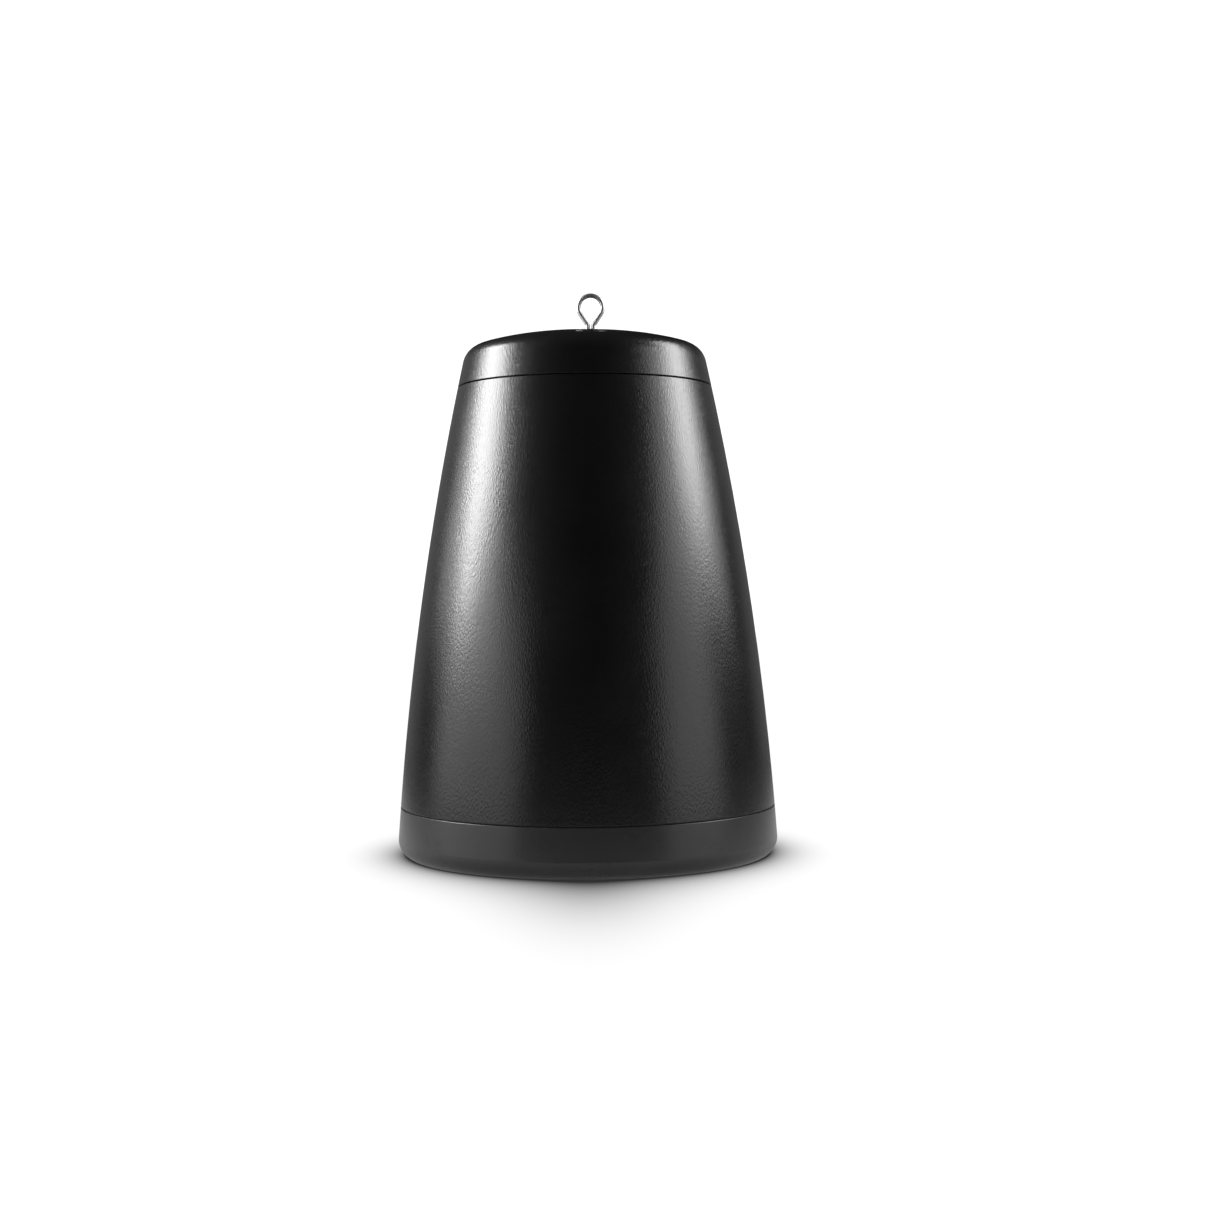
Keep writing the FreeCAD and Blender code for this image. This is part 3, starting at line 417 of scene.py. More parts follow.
def circuit_board():
    """Green resist over copper tracks, with a fine glass weave underneath."""
    s = Shader("board_green")
    near = s.cells(6 * MM, metric="MANHATTAN")
    second = s.cells(6 * MM, "F2", metric="MANHATTAN")
    track = s.spread(s.math("SUBTRACT", second, near), 0.10, 0.14, 1.0, 0.0)
    x, y, _ = s.axes()
    turns = math.tau / (0.6 * MM)
    glass = s.math("MULTIPLY", s.math("SINE", s.math("MULTIPLY", x, turns)),
                   s.math("SINE", s.math("MULTIPLY", y, turns)))
    resin = s.mix(s.spread(glass, -1.0, 1.0), (0.008, 0.075, 0.026), (0.012, 0.100, 0.036))
    s.set(
        Base_Color=s.mix(track, resin, (0.035, 0.185, 0.060)),
        Roughness=s.spread(glass, -1.0, 1.0, 0.24, 0.32),
        Normal=s.bump(s.math("MULTIPLY_ADD", glass, 0.15, track), 0.03 * MM, 0.7),
    )
    return s.material


def banded(name, axis, pitch, groove, dark, light, rough, metallic=0.0, depth=0.08 * MM):
    """Layers stacked along an axis (0, 1 or 2), such as laminations or turns of tape, with dark joints."""
    s = Shader(name)
    along = s.axes()[axis]
    share = s.math("FRACT", s.math("DIVIDE", along, pitch))
    joint = s.spread(s.math("PINGPONG", share, 0.5), 0.0, groove)
    tone = s.noise(4 * MM, 3.0, 0.6)
    body = s.mix(s.span(tone), dark, light)
    s.set(
        Base_Color=s.mix(joint, tuple(0.25 * c for c in dark), body),
        Metallic=metallic,
        Roughness=s.span(tone, *rough),
        Normal=s.bump(s.math("MULTIPLY_ADD", tone, 0.4, joint), depth, 0.7),
    )
    return s.material


STRIPE_FROM_Z = 318.8 * MM       # the sleeves' stripe runs along their top
FILM_BOX_FROM_X = 23.5 * MM      # the round capacitors lie before this, the film box beyond it


def sleeved_capacitors():
    """Two round ones in dark blue sleeves with a pale stripe and bare ends, and a red film box."""
    s = Shader("cap_sleeve")
    x, _, z = s.axes()
    tone = s.noise(3 * MM, 2.0, 0.5)
    stripe = s.math("GREATER_THAN", z, STRIPE_FROM_Z)
    dash = s.math("LESS_THAN", s.math("FRACT", s.math("DIVIDE", x, 5 * MM)), 0.35)
    pale = s.mix(dash, (0.42, 0.46, 0.52), (0.020, 0.030, 0.085))
    blue = s.mix(s.span(tone), (0.006, 0.010, 0.040), (0.010, 0.016, 0.055))
    sleeved = s.mix(stripe, blue, pale)
    film = s.mix(s.span(tone), (0.30, 0.022, 0.012), (0.40, 0.035, 0.018))
    round_one = s.math("LESS_THAN", x, FILM_BOX_FROM_X)
    bare = s.math("MULTIPLY", round_one, s.math("GREATER_THAN", s.math("ABSOLUTE", s.facing()[0]), 0.9))
    colour = s.mix(bare, s.mix(round_one, film, sleeved), (0.62, 0.62, 0.63))
    s.set(
        Base_Color=colour,
        Metallic=bare,
        Roughness=s.span(tone, 0.22, 0.32),
        Normal=s.bump(tone, 0.05 * MM, 0.4),
    )
    return s.material


def part_metal(name, plastic_dark, plastic_light, rough, where):
    """Moulded body with tinned metal where the mask, a function of the shader, is 1."""
    s = Shader(name)
    tone = s.noise(5 * MM, 2.0, 0.5)
    fine = s.noise(0.5 * MM, 3.0, 0.6)
    tin = where(s)
    plastic = s.mix(s.span(tone), plastic_dark, plastic_light)
    bright = s.mix(s.span(fine), (0.52, 0.52, 0.51), (0.68, 0.68, 0.67))
    gloss = s.span(tone, *rough)
    s.set(
        Base_Color=s.mix(tin, plastic, bright),
        Metallic=tin,
        Roughness=s.math("ADD", gloss, s.span(fine, -0.02, 0.03)),
        Normal=s.bump(fine, 0.015 * MM, 0.5),
    )
    return s.material


PIN_PITCH = 7.6 * MM
PIN_SHARE = 0.135                # half of a pin's width, as a share of the pitch
PIN_HALF_DEPTH = 1.0 * MM
PIN_ROW_Y = 56 * MM
HEADER_BASE_Z = 340.99 * MM      # the pins show below the header's body
HEADER_POCKET_Z = 352.65 * MM    # and again above the floor of its pocket


def pins(s):
    """1 on the header's pins, under the body and inside its pocket."""
    x, y, z = s.axes()
    share = s.math("FRACT", s.math("DIVIDE", s.math("ADD", x, 2 * PIN_PITCH), PIN_PITCH))
    near_x = s.math("LESS_THAN", s.math("ABSOLUTE", s.math("SUBTRACT", share, 0.5)), PIN_SHARE)
    near_y = s.math("LESS_THAN", s.math("ABSOLUTE", s.math("SUBTRACT", y, PIN_ROW_Y)), PIN_HALF_DEPTH)
    below = s.math("LESS_THAN", z, HEADER_BASE_Z)
    above = s.math("GREATER_THAN", z, HEADER_POCKET_Z)
    return s.math("MULTIPLY", s.math("MULTIPLY", near_x, near_y), s.math("MAXIMUM", below, above))


TAB_FROM_X = 63.61 * MM          # the woofer's terminals: tinned tabs beyond this, board before it
SWITCH_BODY_Z = (330.95 * MM, 345.8 * MM)


def tabs(s):
    """1 on the woofer terminals' tabs."""
    return s.math("GREATER_THAN", s.axes()[0], TAB_FROM_X)


def switch_ends(s):
    """1 on the tap switch's shaft and tags, above and below its body."""
    z = s.axes()[2]
    return s.math("MAXIMUM", s.math("GREATER_THAN", z, SWITCH_BODY_Z[1]),
                  s.math("LESS_THAN", z, SWITCH_BODY_Z[0]))


def sleeve(name, colours, pick=None):
    """Insulated lead; pick gives a number from 0 that chooses among the colours."""
    s = Shader(name)
    ripple = s.noise(0.9 * MM, 2.0, 0.5)
    colour = colours[0]
    if pick is not None:
        number = pick(s)
        for k, other in enumerate(colours[1:]):
            colour = s.mix(s.math("GREATER_THAN", number, k + 0.5), colour, other)
    s.set(
        Base_Color=s.mix(1.0, colour, s.span(ripple, 0.80, 1.0), blend="MULTIPLY"),
        Roughness=s.span(ripple, 0.34, 0.46),
        Normal=s.bump(ripple, 0.05 * MM, 0.5),
    )
    return s.material


BOARD_LEAD_Y = 30 * MM           # the second board lead lies beyond this,
BOARD_LEAD_LOW_Z = 290 * MM      # except below here,
BOARD_LEAD_LOW_X = -12 * MM      # where it lies beyond this instead
TAP_LEAD_PITCH = 5 * MM


def by_board_lead(s):
    """0 on one of the two board leads and 1 on the other, all along their routes."""
    x, y, z = s.axes()
    low = s.math("MULTIPLY", s.math("GREATER_THAN", x, BOARD_LEAD_LOW_X),
                 s.math("LESS_THAN", z, BOARD_LEAD_LOW_Z))
    return s.math("MAXIMUM", s.math("GREATER_THAN", y, BOARD_LEAD_Y), low)


def by_tap(s):
    """0 to 4 along the row of tap leads."""
    return s.math("ADD", s.math("DIVIDE", s.axes()[0], TAP_LEAD_PITCH), 2.0)


def by_side(axis):
    """1 on the lead that is on the positive side of an axis (0, 1 or 2)."""
    return lambda s: s.math("GREATER_THAN", s.axes()[axis], 0.0)


BLACK = (0.012, 0.012, 0.012)
RED = (0.33, 0.010, 0.008)
BROWN = (0.075, 0.028, 0.012)
BLUE = (0.012, 0.045, 0.230)
YELLOW = (0.55, 0.38, 0.020)
ORANGE = (0.50, 0.12, 0.010)
GREEN = (0.015, 0.16, 0.035)
WHITE = (0.60, 0.60, 0.57)
GREY = (0.18, 0.18, 0.18)


def paint_nodes():
    """Every node that is kept gets its finish."""
    paint(grained_black(), "cabinet_shell", "top_cap")
    paint(satin_black(), "front_baffle")
    paint(bright_wire(), "hanger_eye")
    rubber = moulded("rubber_black", (0.012, 0.012, 0.012), (0.022, 0.022, 0.022), (0.55, 0.68))
    paint(rubber, "cap_seal", "cable_grommet", "baffle_gasket")
    paint(foam(), "woofer_gasket")
    black_zinc = metal("steel_black", (0.030, 0.030, 0.032), (0.055, 0.055, 0.058), (0.28, 0.40))
    paint(black_zinc, "baffle_screws", "woofer_screws")
    inner = moulded("inner_black", (0.012, 0.012, 0.013), (0.020, 0.020, 0.021), (0.42, 0.52))
    paint(inner, "port_tube", "tweeter_housing")
    enamel = moulded("basket_paint", (0.010, 0.010, 0.011), (0.018, 0.018, 0.019), (0.28, 0.36), 0.9 * MM)
    paint(enamel, "woofer_basket")
    yellow_zinc = metal("zinc_yellow", (0.57, 0.49, 0.29), (0.63, 0.55, 0.34), (0.24, 0.34))
    paint(yellow_zinc, "woofer_top_plate", "woofer_back_plate", "bracket_screws")
    turned_steel = metal("steel_turned", (0.46, 0.46, 0.47), (0.60, 0.60, 0.61), (0.20, 0.32),
                         brush=(1.0, 1.0, 3.0))
    paint(turned_steel, "tweeter_post", "tweeter_yoke", "tweeter_front_plate")
    zinc = metal("steel_bright", (0.48, 0.49, 0.51), (0.64, 0.65, 0.67), (0.22, 0.34))
    paint(zinc, "tweeter_post_nut", "plate_screws", "board_screws", "plug_screws", "tap_nut", "eye_stud",
          "eye_nut")
    paint(galvanised("steel_spangle"), "component_plate", "hanger_bracket", "transformer_frame")
    paint(metal("neodymium", (0.60, 0.59, 0.56), (0.74, 0.73, 0.70), (0.12, 0.20)), "tweeter_magnet")
    foil = metal("former_foil", (0.70, 0.70, 0.71), (0.82, 0.82, 0.83), (0.20, 0.34), brush=(0.3, 0.3, 4.0))
    paint(foil, "voice_coil_former")
    dial = metal("dial_plate", (0.66, 0.66, 0.66), (0.76, 0.76, 0.76), (0.26, 0.40), brush=(0.1, 2.0, 1.0))
    paint(dial, "tap_dial")
    paint(ferrite(), "woofer_magnet")
    paint(paper_cone(), "woofer_cone")
    paint(wound_copper("coil_wire", 0.35 * MM, [(0.0, 0.0, ANYWHERE)]), "voice_coil", "tweeter_coil")
    paint(wound_copper("choke_wire", 0.9 * MM, CHOKES), "inductors")
    tab_board = part_metal("terminal_board", (0.13, 0.055, 0.018), (0.19, 0.085, 0.030), (0.40, 0.50), tabs)
    paint(tab_board, "woofer_terminals")
    paint(woven("dome_silk", (0.014, 0.014, 0.016), (0.060, 0.060, 0.064), 0.36 * MM, (0.45, 0.60)),
          "tweeter_dome")
    paint(circuit_board(), "crossover_board")
    nylon = moulded("bobbin_nylon", (0.62, 0.58, 0.46), (0.72, 0.68, 0.56), (0.36, 0.46))
    paint(nylon, "board_spacers", "transformer_bobbin")
    paint(sleeved_capacitors(), "capacitors")
    cement = moulded("cement", (0.58, 0.55, 0.48), (0.74, 0.72, 0.65), (0.78, 0.90),
                     grain=0.7 * MM, depth=0.12 * MM, patch=3 * MM)
    paint(cement, "resistor")
    paint(banded("lamination", 1, 0.5 * MM, 0.18, (0.16, 0.16, 0.17), (0.26, 0.26, 0.27), (0.36, 0.50),
                 metallic=0.9), "transformer_core")
    paint(banded("winding_tape", 2, 5.5 * MM, 0.02, (0.48, 0.33, 0.030), (0.60, 0.44, 0.055), (0.22, 0.34)),
          "transformer_winding")
    switch = part_metal("switch_body", (0.012, 0.012, 0.014), (0.022, 0.022, 0.024), (0.30, 0.40),
                        switch_ends)
    paint(switch, "tap_switch")
    paint(moulded("knob_plastic", (0.012, 0.012, 0.012), (0.020, 0.020, 0.020), (0.44, 0.54),
                  grain=0.4 * MM, depth=0.04 * MM), "tap_knob")
    green = ((0.010, 0.110, 0.045), (0.014, 0.150, 0.062), (0.26, 0.34))
    paint(part_metal("terminal_header", *green, pins), "terminal_header")
    paint(moulded("terminal_green", *green), "terminal_plug")
    paint(sleeve("leads_mains", [BROWN, BLUE], by_side(0)), "header_leads")
    paint(sleeve("leads_taps", [BLACK, WHITE, YELLOW, ORANGE, GREEN], by_tap), "tap_leads")
    paint(sleeve("leads_board", [RED, WHITE], by_board_lead), "board_leads")
    paint(sleeve("leads_woofer", [BLACK, RED], by_side(1)), "woofer_leads")
    paint(sleeve("leads_tweeter", [GREY]), "tweeter_leads")


# ---- stage ------------------------------------------------------------------------------------------
LIGHT_DISTANCE = 1.4
# name, degrees round from the front, height of its middle, width, height, radiance, degrees of lean
LIGHTS = (
    ("left_strip", -96.5, 1.11, 0.66, 1.34, 17.3, 35.0),
    ("left_halo", -90.0, 0.68, 1.64, 0.65, 1.95, 0.0),
    ("left_panel", -71.5, 0.30, 1.65, 0.56, 1.35, 0.0),
    ("right_strip", 99.4, 1.29, 0.58, 1.47, 10.3, 28.0),
    ("right_halo", 86.0, 0.92, 1.48, 0.87, 2.2, 12.0),
    ("right_panel", 65.2, 0.315, 0.98, 0.59, 1.4, 0.0),
    ("front_low", 0.0, 0.06, 1.60, 0.14, 0.10, 0.0),
    ("left_rim", -152.0, 0.25, 1.20, 1.10, 0.16, 0.0),
    ("right_rim", 152.0, 0.25, 1.20, 1.10, 0.16, 0.0),
)
STAGE_LAYERS = 2         # floors and sets of lights that coincide; every strength here is set for two
BACKDROP = 1.2           # brightness of the surroundings as they are seen,
FILL = 0.3               # as they light matt surfaces,
GLOSS_FILL = 0.004       # and as they show in glossy ones

FLOOR_HALF = 6.0
FLOOR_BOUNCE = 0.85      # how much light the floor gives back to the object
TOUCH_R = CAD_BOX[1][0] - 7.4 * MM   # where the rounded rim meets the floor
FLOOR_LIFT = 0.22        # light the floor sends up close to the base
LIFT_REACH = 0.5         # distance over which that light falls off
RIM_SHADE = 0.13         # how much of it the rim itself keeps off the floor beside it
RIM_SHADE_REACH = 0.05   # distance over which that fades
SHADE_REACH = 6.0        # how much further the shade on the floor runs along y than along x
OPEN_FLOOR = 1.03        # the floor's brightness away from the object
NEAR_SHADE, NEAR_REACH = 0.79, 11.0 * MM
WIDE_SHADE, WIDE_REACH = 0.34, 30.0 * MM
DARKEST = 0.03


def soft_light(name, azimuth, z, width, height, radiance, lean):
    """Upright softbox facing the object's axis; azimuth 0 is the front, lean tips its top to the back."""
    data = bpy.data.lights.new(name, "AREA")
    data.shape = "RECTANGLE"
    data.size = width
    data.size_y = height
    data.energy = math.pi * width * height * radiance
    light = bpy.data.objects.new(name, data)
    bpy.context.scene.collection.objects.link(light)
    a = math.radians(azimuth)
    light.location = (LIGHT_DISTANCE * math.sin(a), -LIGHT_DISTANCE * math.cos(a), z)
    aim = Vector((0.0, 0.0, z)) - light.location
    tip = Quaternion((0.0, 0.0, 1.0), -math.copysign(math.radians(lean), azimuth))
    light.rotation_euler = (aim.to_track_quat("-Z", "Y") @ tip).to_euler()
    light.visible_camera = False


def make_world():
    """White surroundings of a different brightness for each kind of ray."""
    world = bpy.data.worlds.new("studio")
    bpy.context.scene.world = world
    world.use_nodes = True
    tree = world.node_tree
    tree.nodes.clear()
    output = tree.nodes.new("ShaderNodeOutputWorld")
    path = tree.nodes.new("ShaderNodeLightPath")

    def white(strength):
        node = tree.nodes.new("ShaderNodeBackground")
        node.inputs["Color"].default_value = (1.0, 1.0, 1.0, 1.0)
        node.inputs["Strength"].default_value = strength
        return node.outputs[0]

    def choose(ray, otherwise, then):
        node = tree.nodes.new("ShaderNodeMixShader")
        for socket, value in zip(node.inputs, (path.outputs[ray], otherwise, then)):
            tree.links.new(value, socket)
        return node.outputs[0]

    unseen = choose("Is Glossy Ray", white(FILL), white(GLOSS_FILL))
    tree.links.new(choose("Is Camera Ray", unseen, white(BACKDROP)), output.inputs["Surface"])


def floor_light(s, outside):
    """Light that the floor sends up to the object, at a distance outside the rim."""
    fall = s.math("EXPONENT", s.math("DIVIDE", outside, -LIFT_REACH))
    under_rim = s.math("EXPONENT", s.math("DIVIDE", outside, -RIM_SHADE_REACH))
    return s.math("MULTIPLY_ADD", under_rim, -RIM_SHADE, s.math("MULTIPLY", fall, FLOOR_LIFT))


def floor_tone(s, away):
    """The floor's brightness as it is seen: a dark edge at the rim inside a wide soft shade."""
    near = s.math("EXPONENT", s.math("DIVIDE", away, -NEAR_REACH))
    squared = s.math("POWER", s.math("DIVIDE", away, WIDE_REACH), 2.0)
    wide = s.math("EXPONENT", s.math("MULTIPLY", squared, -1.0))
    tone = s.math("MULTIPLY_ADD", near, -NEAR_SHADE, OPEN_FLOOR)
    tone = s.math("MULTIPLY_ADD", wide, -WIDE_SHADE, tone)
    return s.math("MAXIMUM", tone, DARKEST)


def make_floor():
    """White floor; the soft shade round the base runs further to the front and back than to the sides."""
    mesh = bpy.data.meshes.new("floor")
    r = FLOOR_HALF
    mesh.from_pydata([(-r, -r, 0), (r, -r, 0), (r, r, 0), (-r, r, 0)], [], [(0, 1, 2, 3)])
    floor = bpy.data.objects.new("floor", mesh)
    bpy.context.scene.collection.objects.link(floor)
    s = Shader("floor_white")
    x, y, _ = s.axes()
    far = s.math("SQRT", s.math("ADD", s.math("MULTIPLY", x, x), s.math("MULTIPLY", y, y)))
    outside = s.math("MAXIMUM", s.math("SUBTRACT", far, TOUCH_R), 0.0)
    side = s.math("DIVIDE", x, far)
    front = s.math("DIVIDE", s.math("DIVIDE", y, far), SHADE_REACH)
    reach = s.math("SQRT", s.math("ADD", s.math("MULTIPLY", side, side), s.math("MULTIPLY", front, front)))
    s.set(
        Base_Color=(FLOOR_BOUNCE, FLOOR_BOUNCE, FLOOR_BOUNCE, 1.0),
        Roughness=0.9,
        Specular_IOR_Level=0.0,
        Emission_Color=(1.0, 1.0, 1.0, 1.0),
        Emission_Strength=floor_light(s, outside),
    )
    glow = s.add("ShaderNodeEmission")
    s.feed(glow.inputs["Strength"], floor_tone(s, s.math("MULTIPLY", outside, reach)))
    choose = s.add("ShaderNodeMixShader")
    s.feed(choose.inputs[0], s.add("ShaderNodeLightPath").outputs["Is Camera Ray"])
    s.feed(choose.inputs[1], s.bsdf.outputs["BSDF"])
    s.feed(choose.inputs[2], glow.outputs[0])
    s.feed(s.output.inputs["Surface"], choose.outputs[0])
    mesh.materials.append(s.material)


# ---- pieces that stand for CAD nodes --------------------------------------------------------------
def piece(name, vertices, faces, material, slot, smooth=True):
    """A mesh object; vertices in millimetres."""
    mesh = bpy.data.meshes.new(name)
    mesh.from_pydata([tuple(c * MM for c in v) for v in vertices], [], faces)
    mesh.validate()
    edit = bmesh.new()
    edit.from_mesh(mesh)
    bmesh.ops.remove_doubles(edit, verts=edit.verts, dist=0.002 * MM)
    bmesh.ops.recalc_face_normals(edit, faces=edit.faces)
    edit.to_mesh(mesh)
    edit.free()
    mesh.materials.append(material)
    for face in mesh.polygons:
        face.use_smooth = smooth
    made = bpy.data.objects.new(name, mesh)
    bpy.context.scene.collection.objects.link(made)
    return made


RIM_SEGMENTS = 192
WOOFER_SEGMENTS = 144
TWEETER_SEGMENTS = 96


def lathe(profile, segments):
    """Vertices and faces of a closed profile of (r, z) turned about the axis."""
    vertices = []
    faces = []
    count = len(profile)
    for k in range(segments):
        a = math.tau * k / segments
        vertices += [(r * math.cos(a), r * math.sin(a), z) for r, z in profile]
    for k in range(segments):
        here = k * count
        there = (k + 1) % segments * count
        for j in range(count):
            nxt = (j + 1) % count
            faces.append((here + j, there + j, there + nxt, here + nxt))
    return vertices, faces


def skin(line, thickness):
    """Closed profile of even thickness whose lower side follows the line of (r, z)."""
    low = []
    high = []
    for k, (r, z) in enumerate(line):
        before = line[max(k - 1, 0)]
        after = line[min(k + 1, len(line) - 1)]
        run = Vector((after[0] - before[0], after[1] - before[1])).normalized()
        low.append((r, z))
        high.append((r - run.y * thickness, z + run.x * thickness))
    return low + high[::-1]


def radial_blend(made):
    """Moves the piece's placement into its mesh."""
    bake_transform(made)


def arc(cx, cz, radius, start, end, count):
    """Points along an arc, from the start angle to the end angle in degrees."""
    points = []
    for k in range(count + 1):
        a = math.radians(start + (end - start) * k / count)
        points.append((cx + radius * math.cos(a), cz + radius * math.sin(a)))
    return points


# ---- grille: perforated sheet with a folded rim ----------------------------------------------------
HOLE_PITCH = 5.6
HOLE_R = 1.8
RIM_T = 1.2
RIM_LOW, RIM_HIGH = 6.0, 14.0
RIM_CHAMFER = 0.1
SHEET_INSET = 0.02       # the sheet lies this far inside the rim's two faces
SHEET_LOW = RIM_LOW + SHEET_INSET
SHEET_HIGH = RIM_LOW + RIM_T - SHEET_INSET
GRILLE_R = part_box("grille")[1][0] / MM
SHEET_R = GRILLE_R - 4.0
HOLES_WITHIN = GRILLE_R - 10.0
RIM_IN_R = SHEET_R - 0.4
CELL_CORNERS = 12        # corners and side middles of a hexagon


def hex_outline(cx, cy):
    """One lattice cell, held inside the sheet's edge."""
    points = []
    for k in range(CELL_CORNERS):
        a = math.tau * k / CELL_CORNERS
        reach = HOLE_PITCH / math.sqrt(3.0) if k % 2 else HOLE_PITCH / 2.0
        x = cx + reach * math.cos(a)
        y = cy + reach * math.sin(a)
        far = math.hypot(x, y)
        if far > SHEET_R:
            x *= SHEET_R / far
            y *= SHEET_R / far
        points.append((x, y))
    return points


def add_cell(vertices, faces, cx, cy):
    """A cell's top and bottom, joined round its hole, or plain near the sheet's edge."""
    outline = hex_outline(cx, cy)
    n = CELL_CORNERS
    low = len(vertices)
    high = low + n
    for z in (SHEET_LOW, SHEET_HIGH):
        vertices.extend((x, y, z) for x, y in outline)
    if math.hypot(cx, cy) > HOLES_WITHIN:
        faces.append(tuple(range(low, low + n)))
        faces.append(tuple(range(high, high + n)))
        return
    for z in (SHEET_LOW, SHEET_HIGH):
        for k in range(n):
            a = math.tau * k / n
            vertices.append((cx + HOLE_R * math.cos(a), cy + HOLE_R * math.sin(a), z))
    hole_low = high + n
    hole_high = hole_low + n
    for k in range(n):
        nxt = (k + 1) % n
        for first, second in ((low, hole_low), (high, hole_high), (hole_low, hole_high)):
            faces.append((first + k, first + nxt, second + nxt, second + k))


def make_grille(material):
    vertices = []
    faces = []
    row_step = HOLE_PITCH * math.sqrt(3.0) / 2.0
    rows = int(SHEET_R / row_step) + 2
    columns = int(SHEET_R / HOLE_PITCH) + 2
    for j in range(-rows, rows + 1):
        shift = HOLE_PITCH / 2.0 if j % 2 else 0.0
        for i in range(-columns, columns + 1):
            cx = i * HOLE_PITCH + shift
            cy = j * row_step
            if math.hypot(cx, cy) < SHEET_R:
                add_cell(vertices, faces, cx, cy)
    sheet = piece("grille_sheet", vertices, faces, material, "grille_paint", smooth=False)
    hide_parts("grille")
    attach(sheet, "cabinet")
    fold_z = RIM_LOW + RIM_T
    inner = GRILLE_R - RIM_T
    profile = [(RIM_IN_R, RIM_LOW)]
    profile += arc(inner, fold_z, RIM_T, -90.0, 0.0, 8)
    profile += [(GRILLE_R, RIM_HIGH - RIM_CHAMFER), (GRILLE_R - RIM_CHAMFER, RIM_HIGH)]
    profile += [(inner + RIM_CHAMFER, RIM_HIGH), (inner, RIM_HIGH - RIM_CHAMFER)]
    profile += [(inner, fold_z), (RIM_IN_R, fold_z)]
    rim = piece("grille_rim", *lathe(profile, RIM_SEGMENTS), material, "grille_paint")
    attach(rim, "cabinet")


# ---- soft parts of the two drive units, in millimetres ------------------------------------------------
SURROUND_R = (55.8, 56.6, 67.0, 70.9)    # glued on the cone, then on the basket
SURROUND_Z = 25.45
SURROUND_DIP = 0.05
ROLL_AT_R, ROLL_R = 61.7, 4.3
SOFT_T = 0.45
SPIDER_R = (12.9, 44.0, 49.9)            # former, last wave, glued rim
SPIDER_Z = 51.4
SPIDER_HALF_WAVES = 6
SPIDER_SWING = 1.05
HALF_WAVE_STEPS = 10
EDGE_R = (10.45, 12.4, 12.95)            # glued on the dome, then on the front plate
EDGE_Z = 27.55
EDGE_LIFT = 0.05
EDGE_ROLL_AT_R, EDGE_ROLL_R = 11.3, 0.62
EDGE_T = 0.25


def make_surrounds():
    """The woofer's surround and spider and the tweeter's edge ring, each a thin turned skin."""
    rubber = soft_rubber()
    line = [(SURROUND_R[0], SURROUND_Z), (SURROUND_R[1], SURROUND_Z - SURROUND_DIP)]
    line += arc(ROLL_AT_R, SURROUND_Z, ROLL_R, 180.0, 360.0, 20)
    line += [(r, SURROUND_Z) for r in SURROUND_R[2:]]
    made = piece("woofer_surround_roll", *lathe(skin(line, SOFT_T), WOOFER_SEGMENTS), rubber,
                 "surround_rubber")
    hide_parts("woofer_surround")
    radial_blend(made)

    cloth = woven("spider_cloth", (0.30, 0.17, 0.045), (0.56, 0.36, 0.13), 0.8 * MM, (0.62, 0.78))
    line = []
    steps = SPIDER_HALF_WAVES * HALF_WAVE_STEPS
    for k in range(steps + 1):
        r = SPIDER_R[0] + (SPIDER_R[1] - SPIDER_R[0]) * k / steps
        line.append((r, SPIDER_Z - SPIDER_SWING * math.sin(math.pi * k / HALF_WAVE_STEPS)))
    line.append((SPIDER_R[2], SPIDER_Z))
    made = piece("woofer_spider_disc", *lathe(skin(line, SOFT_T), WOOFER_SEGMENTS), cloth, "spider_cloth")
    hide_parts("woofer_spider")
    radial_blend(made)

    silk = woven("edge_silk", (0.014, 0.014, 0.016), (0.055, 0.055, 0.058), 0.36 * MM, (0.45, 0.60))
    line = [(EDGE_R[0], EDGE_Z)]
    line += arc(EDGE_ROLL_AT_R, EDGE_Z + EDGE_LIFT, EDGE_ROLL_R, 180.0, 360.0, 12)
    line += [(r, EDGE_Z) for r in EDGE_R[1:]]
    made = piece("tweeter_edge_roll", *lathe(skin(line, EDGE_T), TWEETER_SEGMENTS), silk, "dome_silk")
    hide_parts("tweeter_surround")
    radial_blend(made)


# ---- tinsel leads, in millimetres ----------------------------------------------------------------------
STRAND_R = 0.24
STRAND_AT_R = 0.24
STRANDS = 4
STRAND_SIDES = 8
LAY_LENGTH = 3.2


def route_points(route):
    """Points along the smooth line of a route, in metres."""
    data = bpy.data.curves.new("route", "CURVE")
    data.dimensions = "3D"
    spline = data.splines.new("NURBS")
    spline.points.add(len(route) - 1)
    for point, place in zip(spline.points, route):
        point.co = (*(c * MM for c in place), 1.0)
    spline.order_u = 3
    spline.use_endpoint_u = True
    spline.resolution_u = 24
    line = bpy.data.objects.new("route", data)
    bpy.context.scene.collection.objects.link(line)
    mesh = bpy.data.meshes.new_from_object(line)
    points = [v.co.copy() for v in mesh.vertices]
    bpy.data.objects.remove(line)
    bpy.data.meshes.remove(mesh)
    bpy.data.curves.remove(data)
    return points


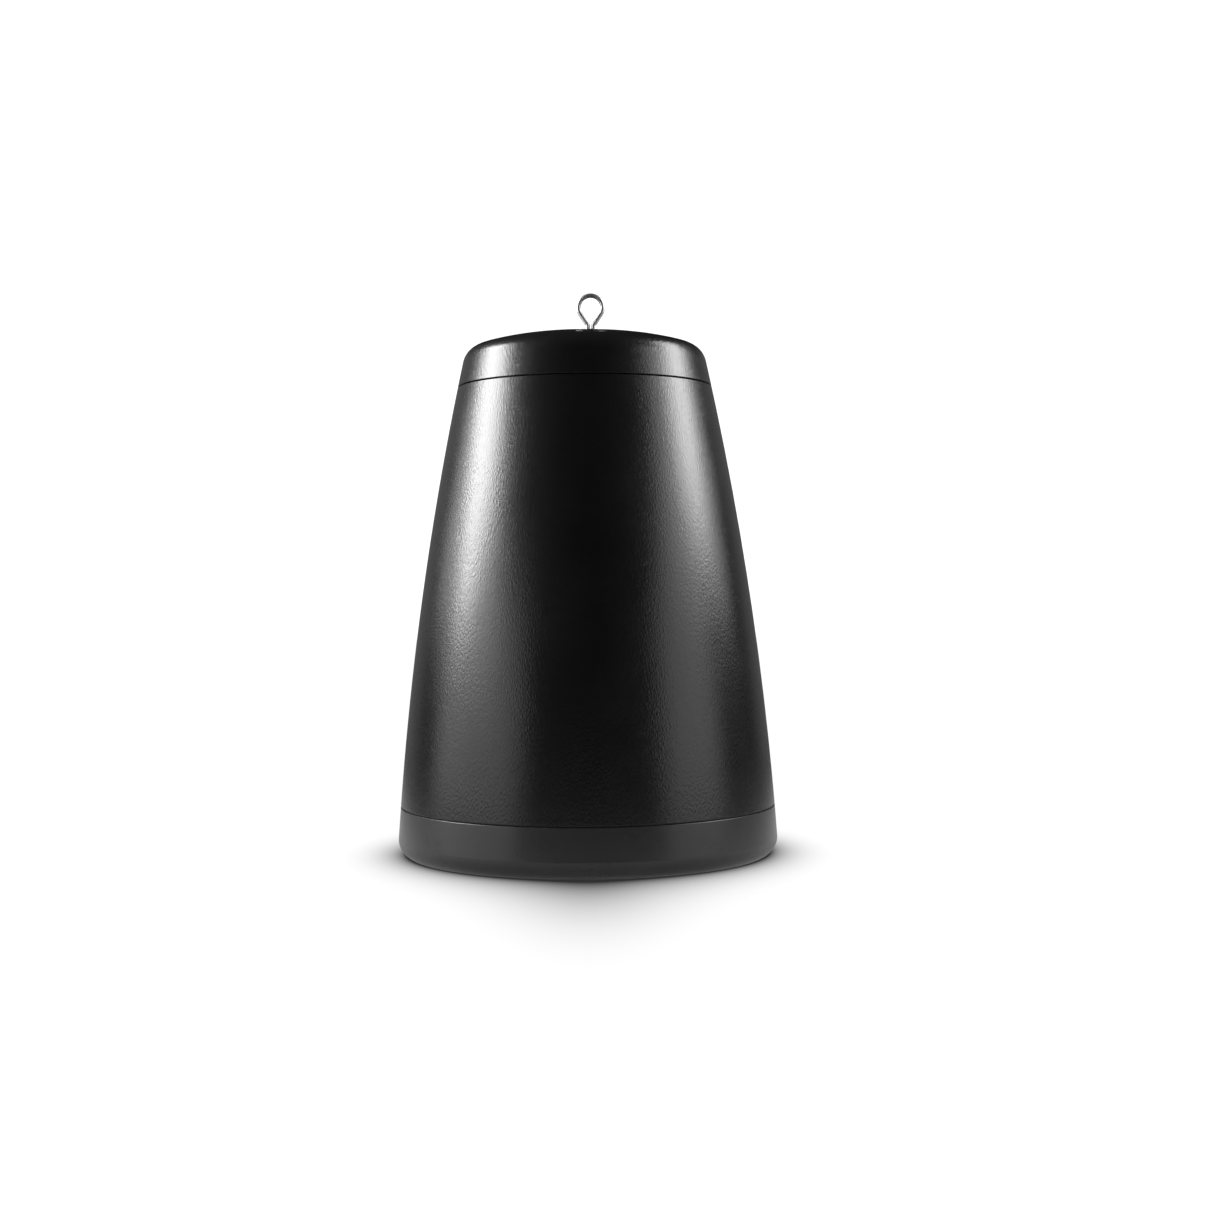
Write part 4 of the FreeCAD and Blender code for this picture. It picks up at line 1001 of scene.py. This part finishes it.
def add_strand(vertices, faces, points, strand):
    """One strand of a twist round the line of points."""
    across = Vector((0.0, 1.0, 0.0))
    travelled = 0.0
    first = len(vertices)
    for k, point in enumerate(points):
        if k:
            travelled += (point - points[k - 1]).length / MM
        ahead = (points[min(k + 1, len(points) - 1)] - points[max(k - 1, 0)]).normalized()
        up = ahead.cross(across)
        turn = math.tau * (strand / STRANDS + travelled / LAY_LENGTH)
        centre = point / MM + (across * math.cos(turn) + up * math.sin(turn)) * STRAND_AT_R
        for side in range(STRAND_SIDES):
            a = math.tau * side / STRAND_SIDES
            vertices.append(tuple(centre + (across * math.cos(a) + up * math.sin(a)) * STRAND_R))
    for k in range(len(points) - 1):
        low = first + k * STRAND_SIDES
        high = low + STRAND_SIDES
        for side in range(STRAND_SIDES):
            nxt = (side + 1) % STRAND_SIDES
            faces.append((low + side, low + nxt, high + nxt, high + side))
    last = first + (len(points) - 1) * STRAND_SIDES
    faces.append(tuple(range(first, first + STRAND_SIDES)))
    faces.append(tuple(range(last, last + STRAND_SIDES)))


def make_tinsel(material):
    """Each lead is a twist of four strands that hangs in a loop between the cone and the tabs."""
    vertices = []
    faces = []
    for y in (-4.5, 4.5):
        points = route_points([(30.0, y, 43.6), (34.0, y, 47.6), (48.0, y, 44.6), (61.6, y, 48.2)])
        for strand in range(STRANDS):
            add_strand(vertices, faces, points, strand)
    made = piece("tinsel_twists", vertices, faces, material, "copper_wire")
    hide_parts("tinsel_leads")
    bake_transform(made)


# ---- dial ---------------------------------------------------------------------------------------------
SWITCH_Y = -55.0
DIAL_TOP_Z = 351.1
PRINT_T = 0.05
POSITIONS = 5
STEP_DEG = 30.0
TICK_R = (14.3, 15.5)
TICK_HALF = 0.25
NUMBER_R = 17.4
NUMBER_SIZE = 3.0
POINTER_R = (10.3, 13.2)
POINTER_HALF = 0.4
POINTER_T = 0.06
KNOB_TOP_Z = 362.0
FIRST_DEG = 90.0


def bar(vertices, faces, x, y, angle, r0, r1, half, z0, z1):
    """A box that lies along a ray from (x, y)."""
    first = len(vertices)
    along = Vector((math.cos(angle), math.sin(angle)))
    side = Vector((-along.y, along.x))
    for z in (z0, z1):
        for r, s in ((r0, -half), (r1, -half), (r1, half), (r0, half)):
            p = along * r + side * s
            vertices.append((x + p.x, y + p.y, z))
    for quad in ((0, 1, 2, 3), (4, 5, 6, 7), (0, 1, 5, 4), (1, 2, 6, 5), (2, 3, 7, 6), (3, 0, 4, 7)):
        faces.append(tuple(first + k for k in quad))


def make_dial_marks():
    """Five numbered ticks on the dial and the line on the knob."""
    ink = moulded("dial_ink", (0.010, 0.010, 0.010), (0.018, 0.018, 0.018), (0.50, 0.60))
    vertices = []
    faces = []
    for k in range(POSITIONS):
        angle = math.radians(FIRST_DEG + STEP_DEG * k)
        bar(vertices, faces, 0.0, SWITCH_Y, angle, *TICK_R, TICK_HALF, DIAL_TOP_Z, DIAL_TOP_Z + PRINT_T)
        data = bpy.data.curves.new("dial_number", "FONT")
        data.body = str(k + 1)
        data.align_x = "CENTER"
        data.align_y = "CENTER"
        data.size = NUMBER_SIZE * MM
        data.extrude = PRINT_T / 2 * MM
        data.materials.append(ink)
        number = bpy.data.objects.new("dial_number_" + str(k + 1), data)
        bpy.context.scene.collection.objects.link(number)
        x = NUMBER_R * math.cos(angle)
        y = SWITCH_Y + NUMBER_R * math.sin(angle)
        number.location = (x * MM, y * MM, (DIAL_TOP_Z + PRINT_T / 2) * MM)
        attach(number, "cabinet")
    ticks = piece("dial_ticks", vertices, faces, ink, "dial_plate", smooth=False)
    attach(ticks, "cabinet")

    white = moulded("pointer_white", (0.58, 0.58, 0.56), (0.70, 0.70, 0.68), (0.45, 0.55))
    vertices = []
    faces = []
    bar(vertices, faces, 0.0, SWITCH_Y, math.radians(FIRST_DEG), *POINTER_R, POINTER_HALF,
        KNOB_TOP_Z, KNOB_TOP_Z + POINTER_T)
    line = piece("knob_pointer_line", vertices, faces, white, "knob_plastic", smooth=False)
    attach(line, "tap_knob")


# ---- all of it -----------------------------------------------------------------------------------------
make_camera()
make_world()
for _ in range(STAGE_LAYERS):
    make_floor()
    for light in LIGHTS:
        soft_light(*light)
bpy.context.scene.view_settings.view_transform = "Standard"

paint_nodes()
make_grille(powder_coat())
make_surrounds()
make_tinsel(metal("tinsel_copper", (0.50, 0.20, 0.08), (0.70, 0.33, 0.14), (0.26, 0.38), cloud=2 * MM))
make_dial_marks()
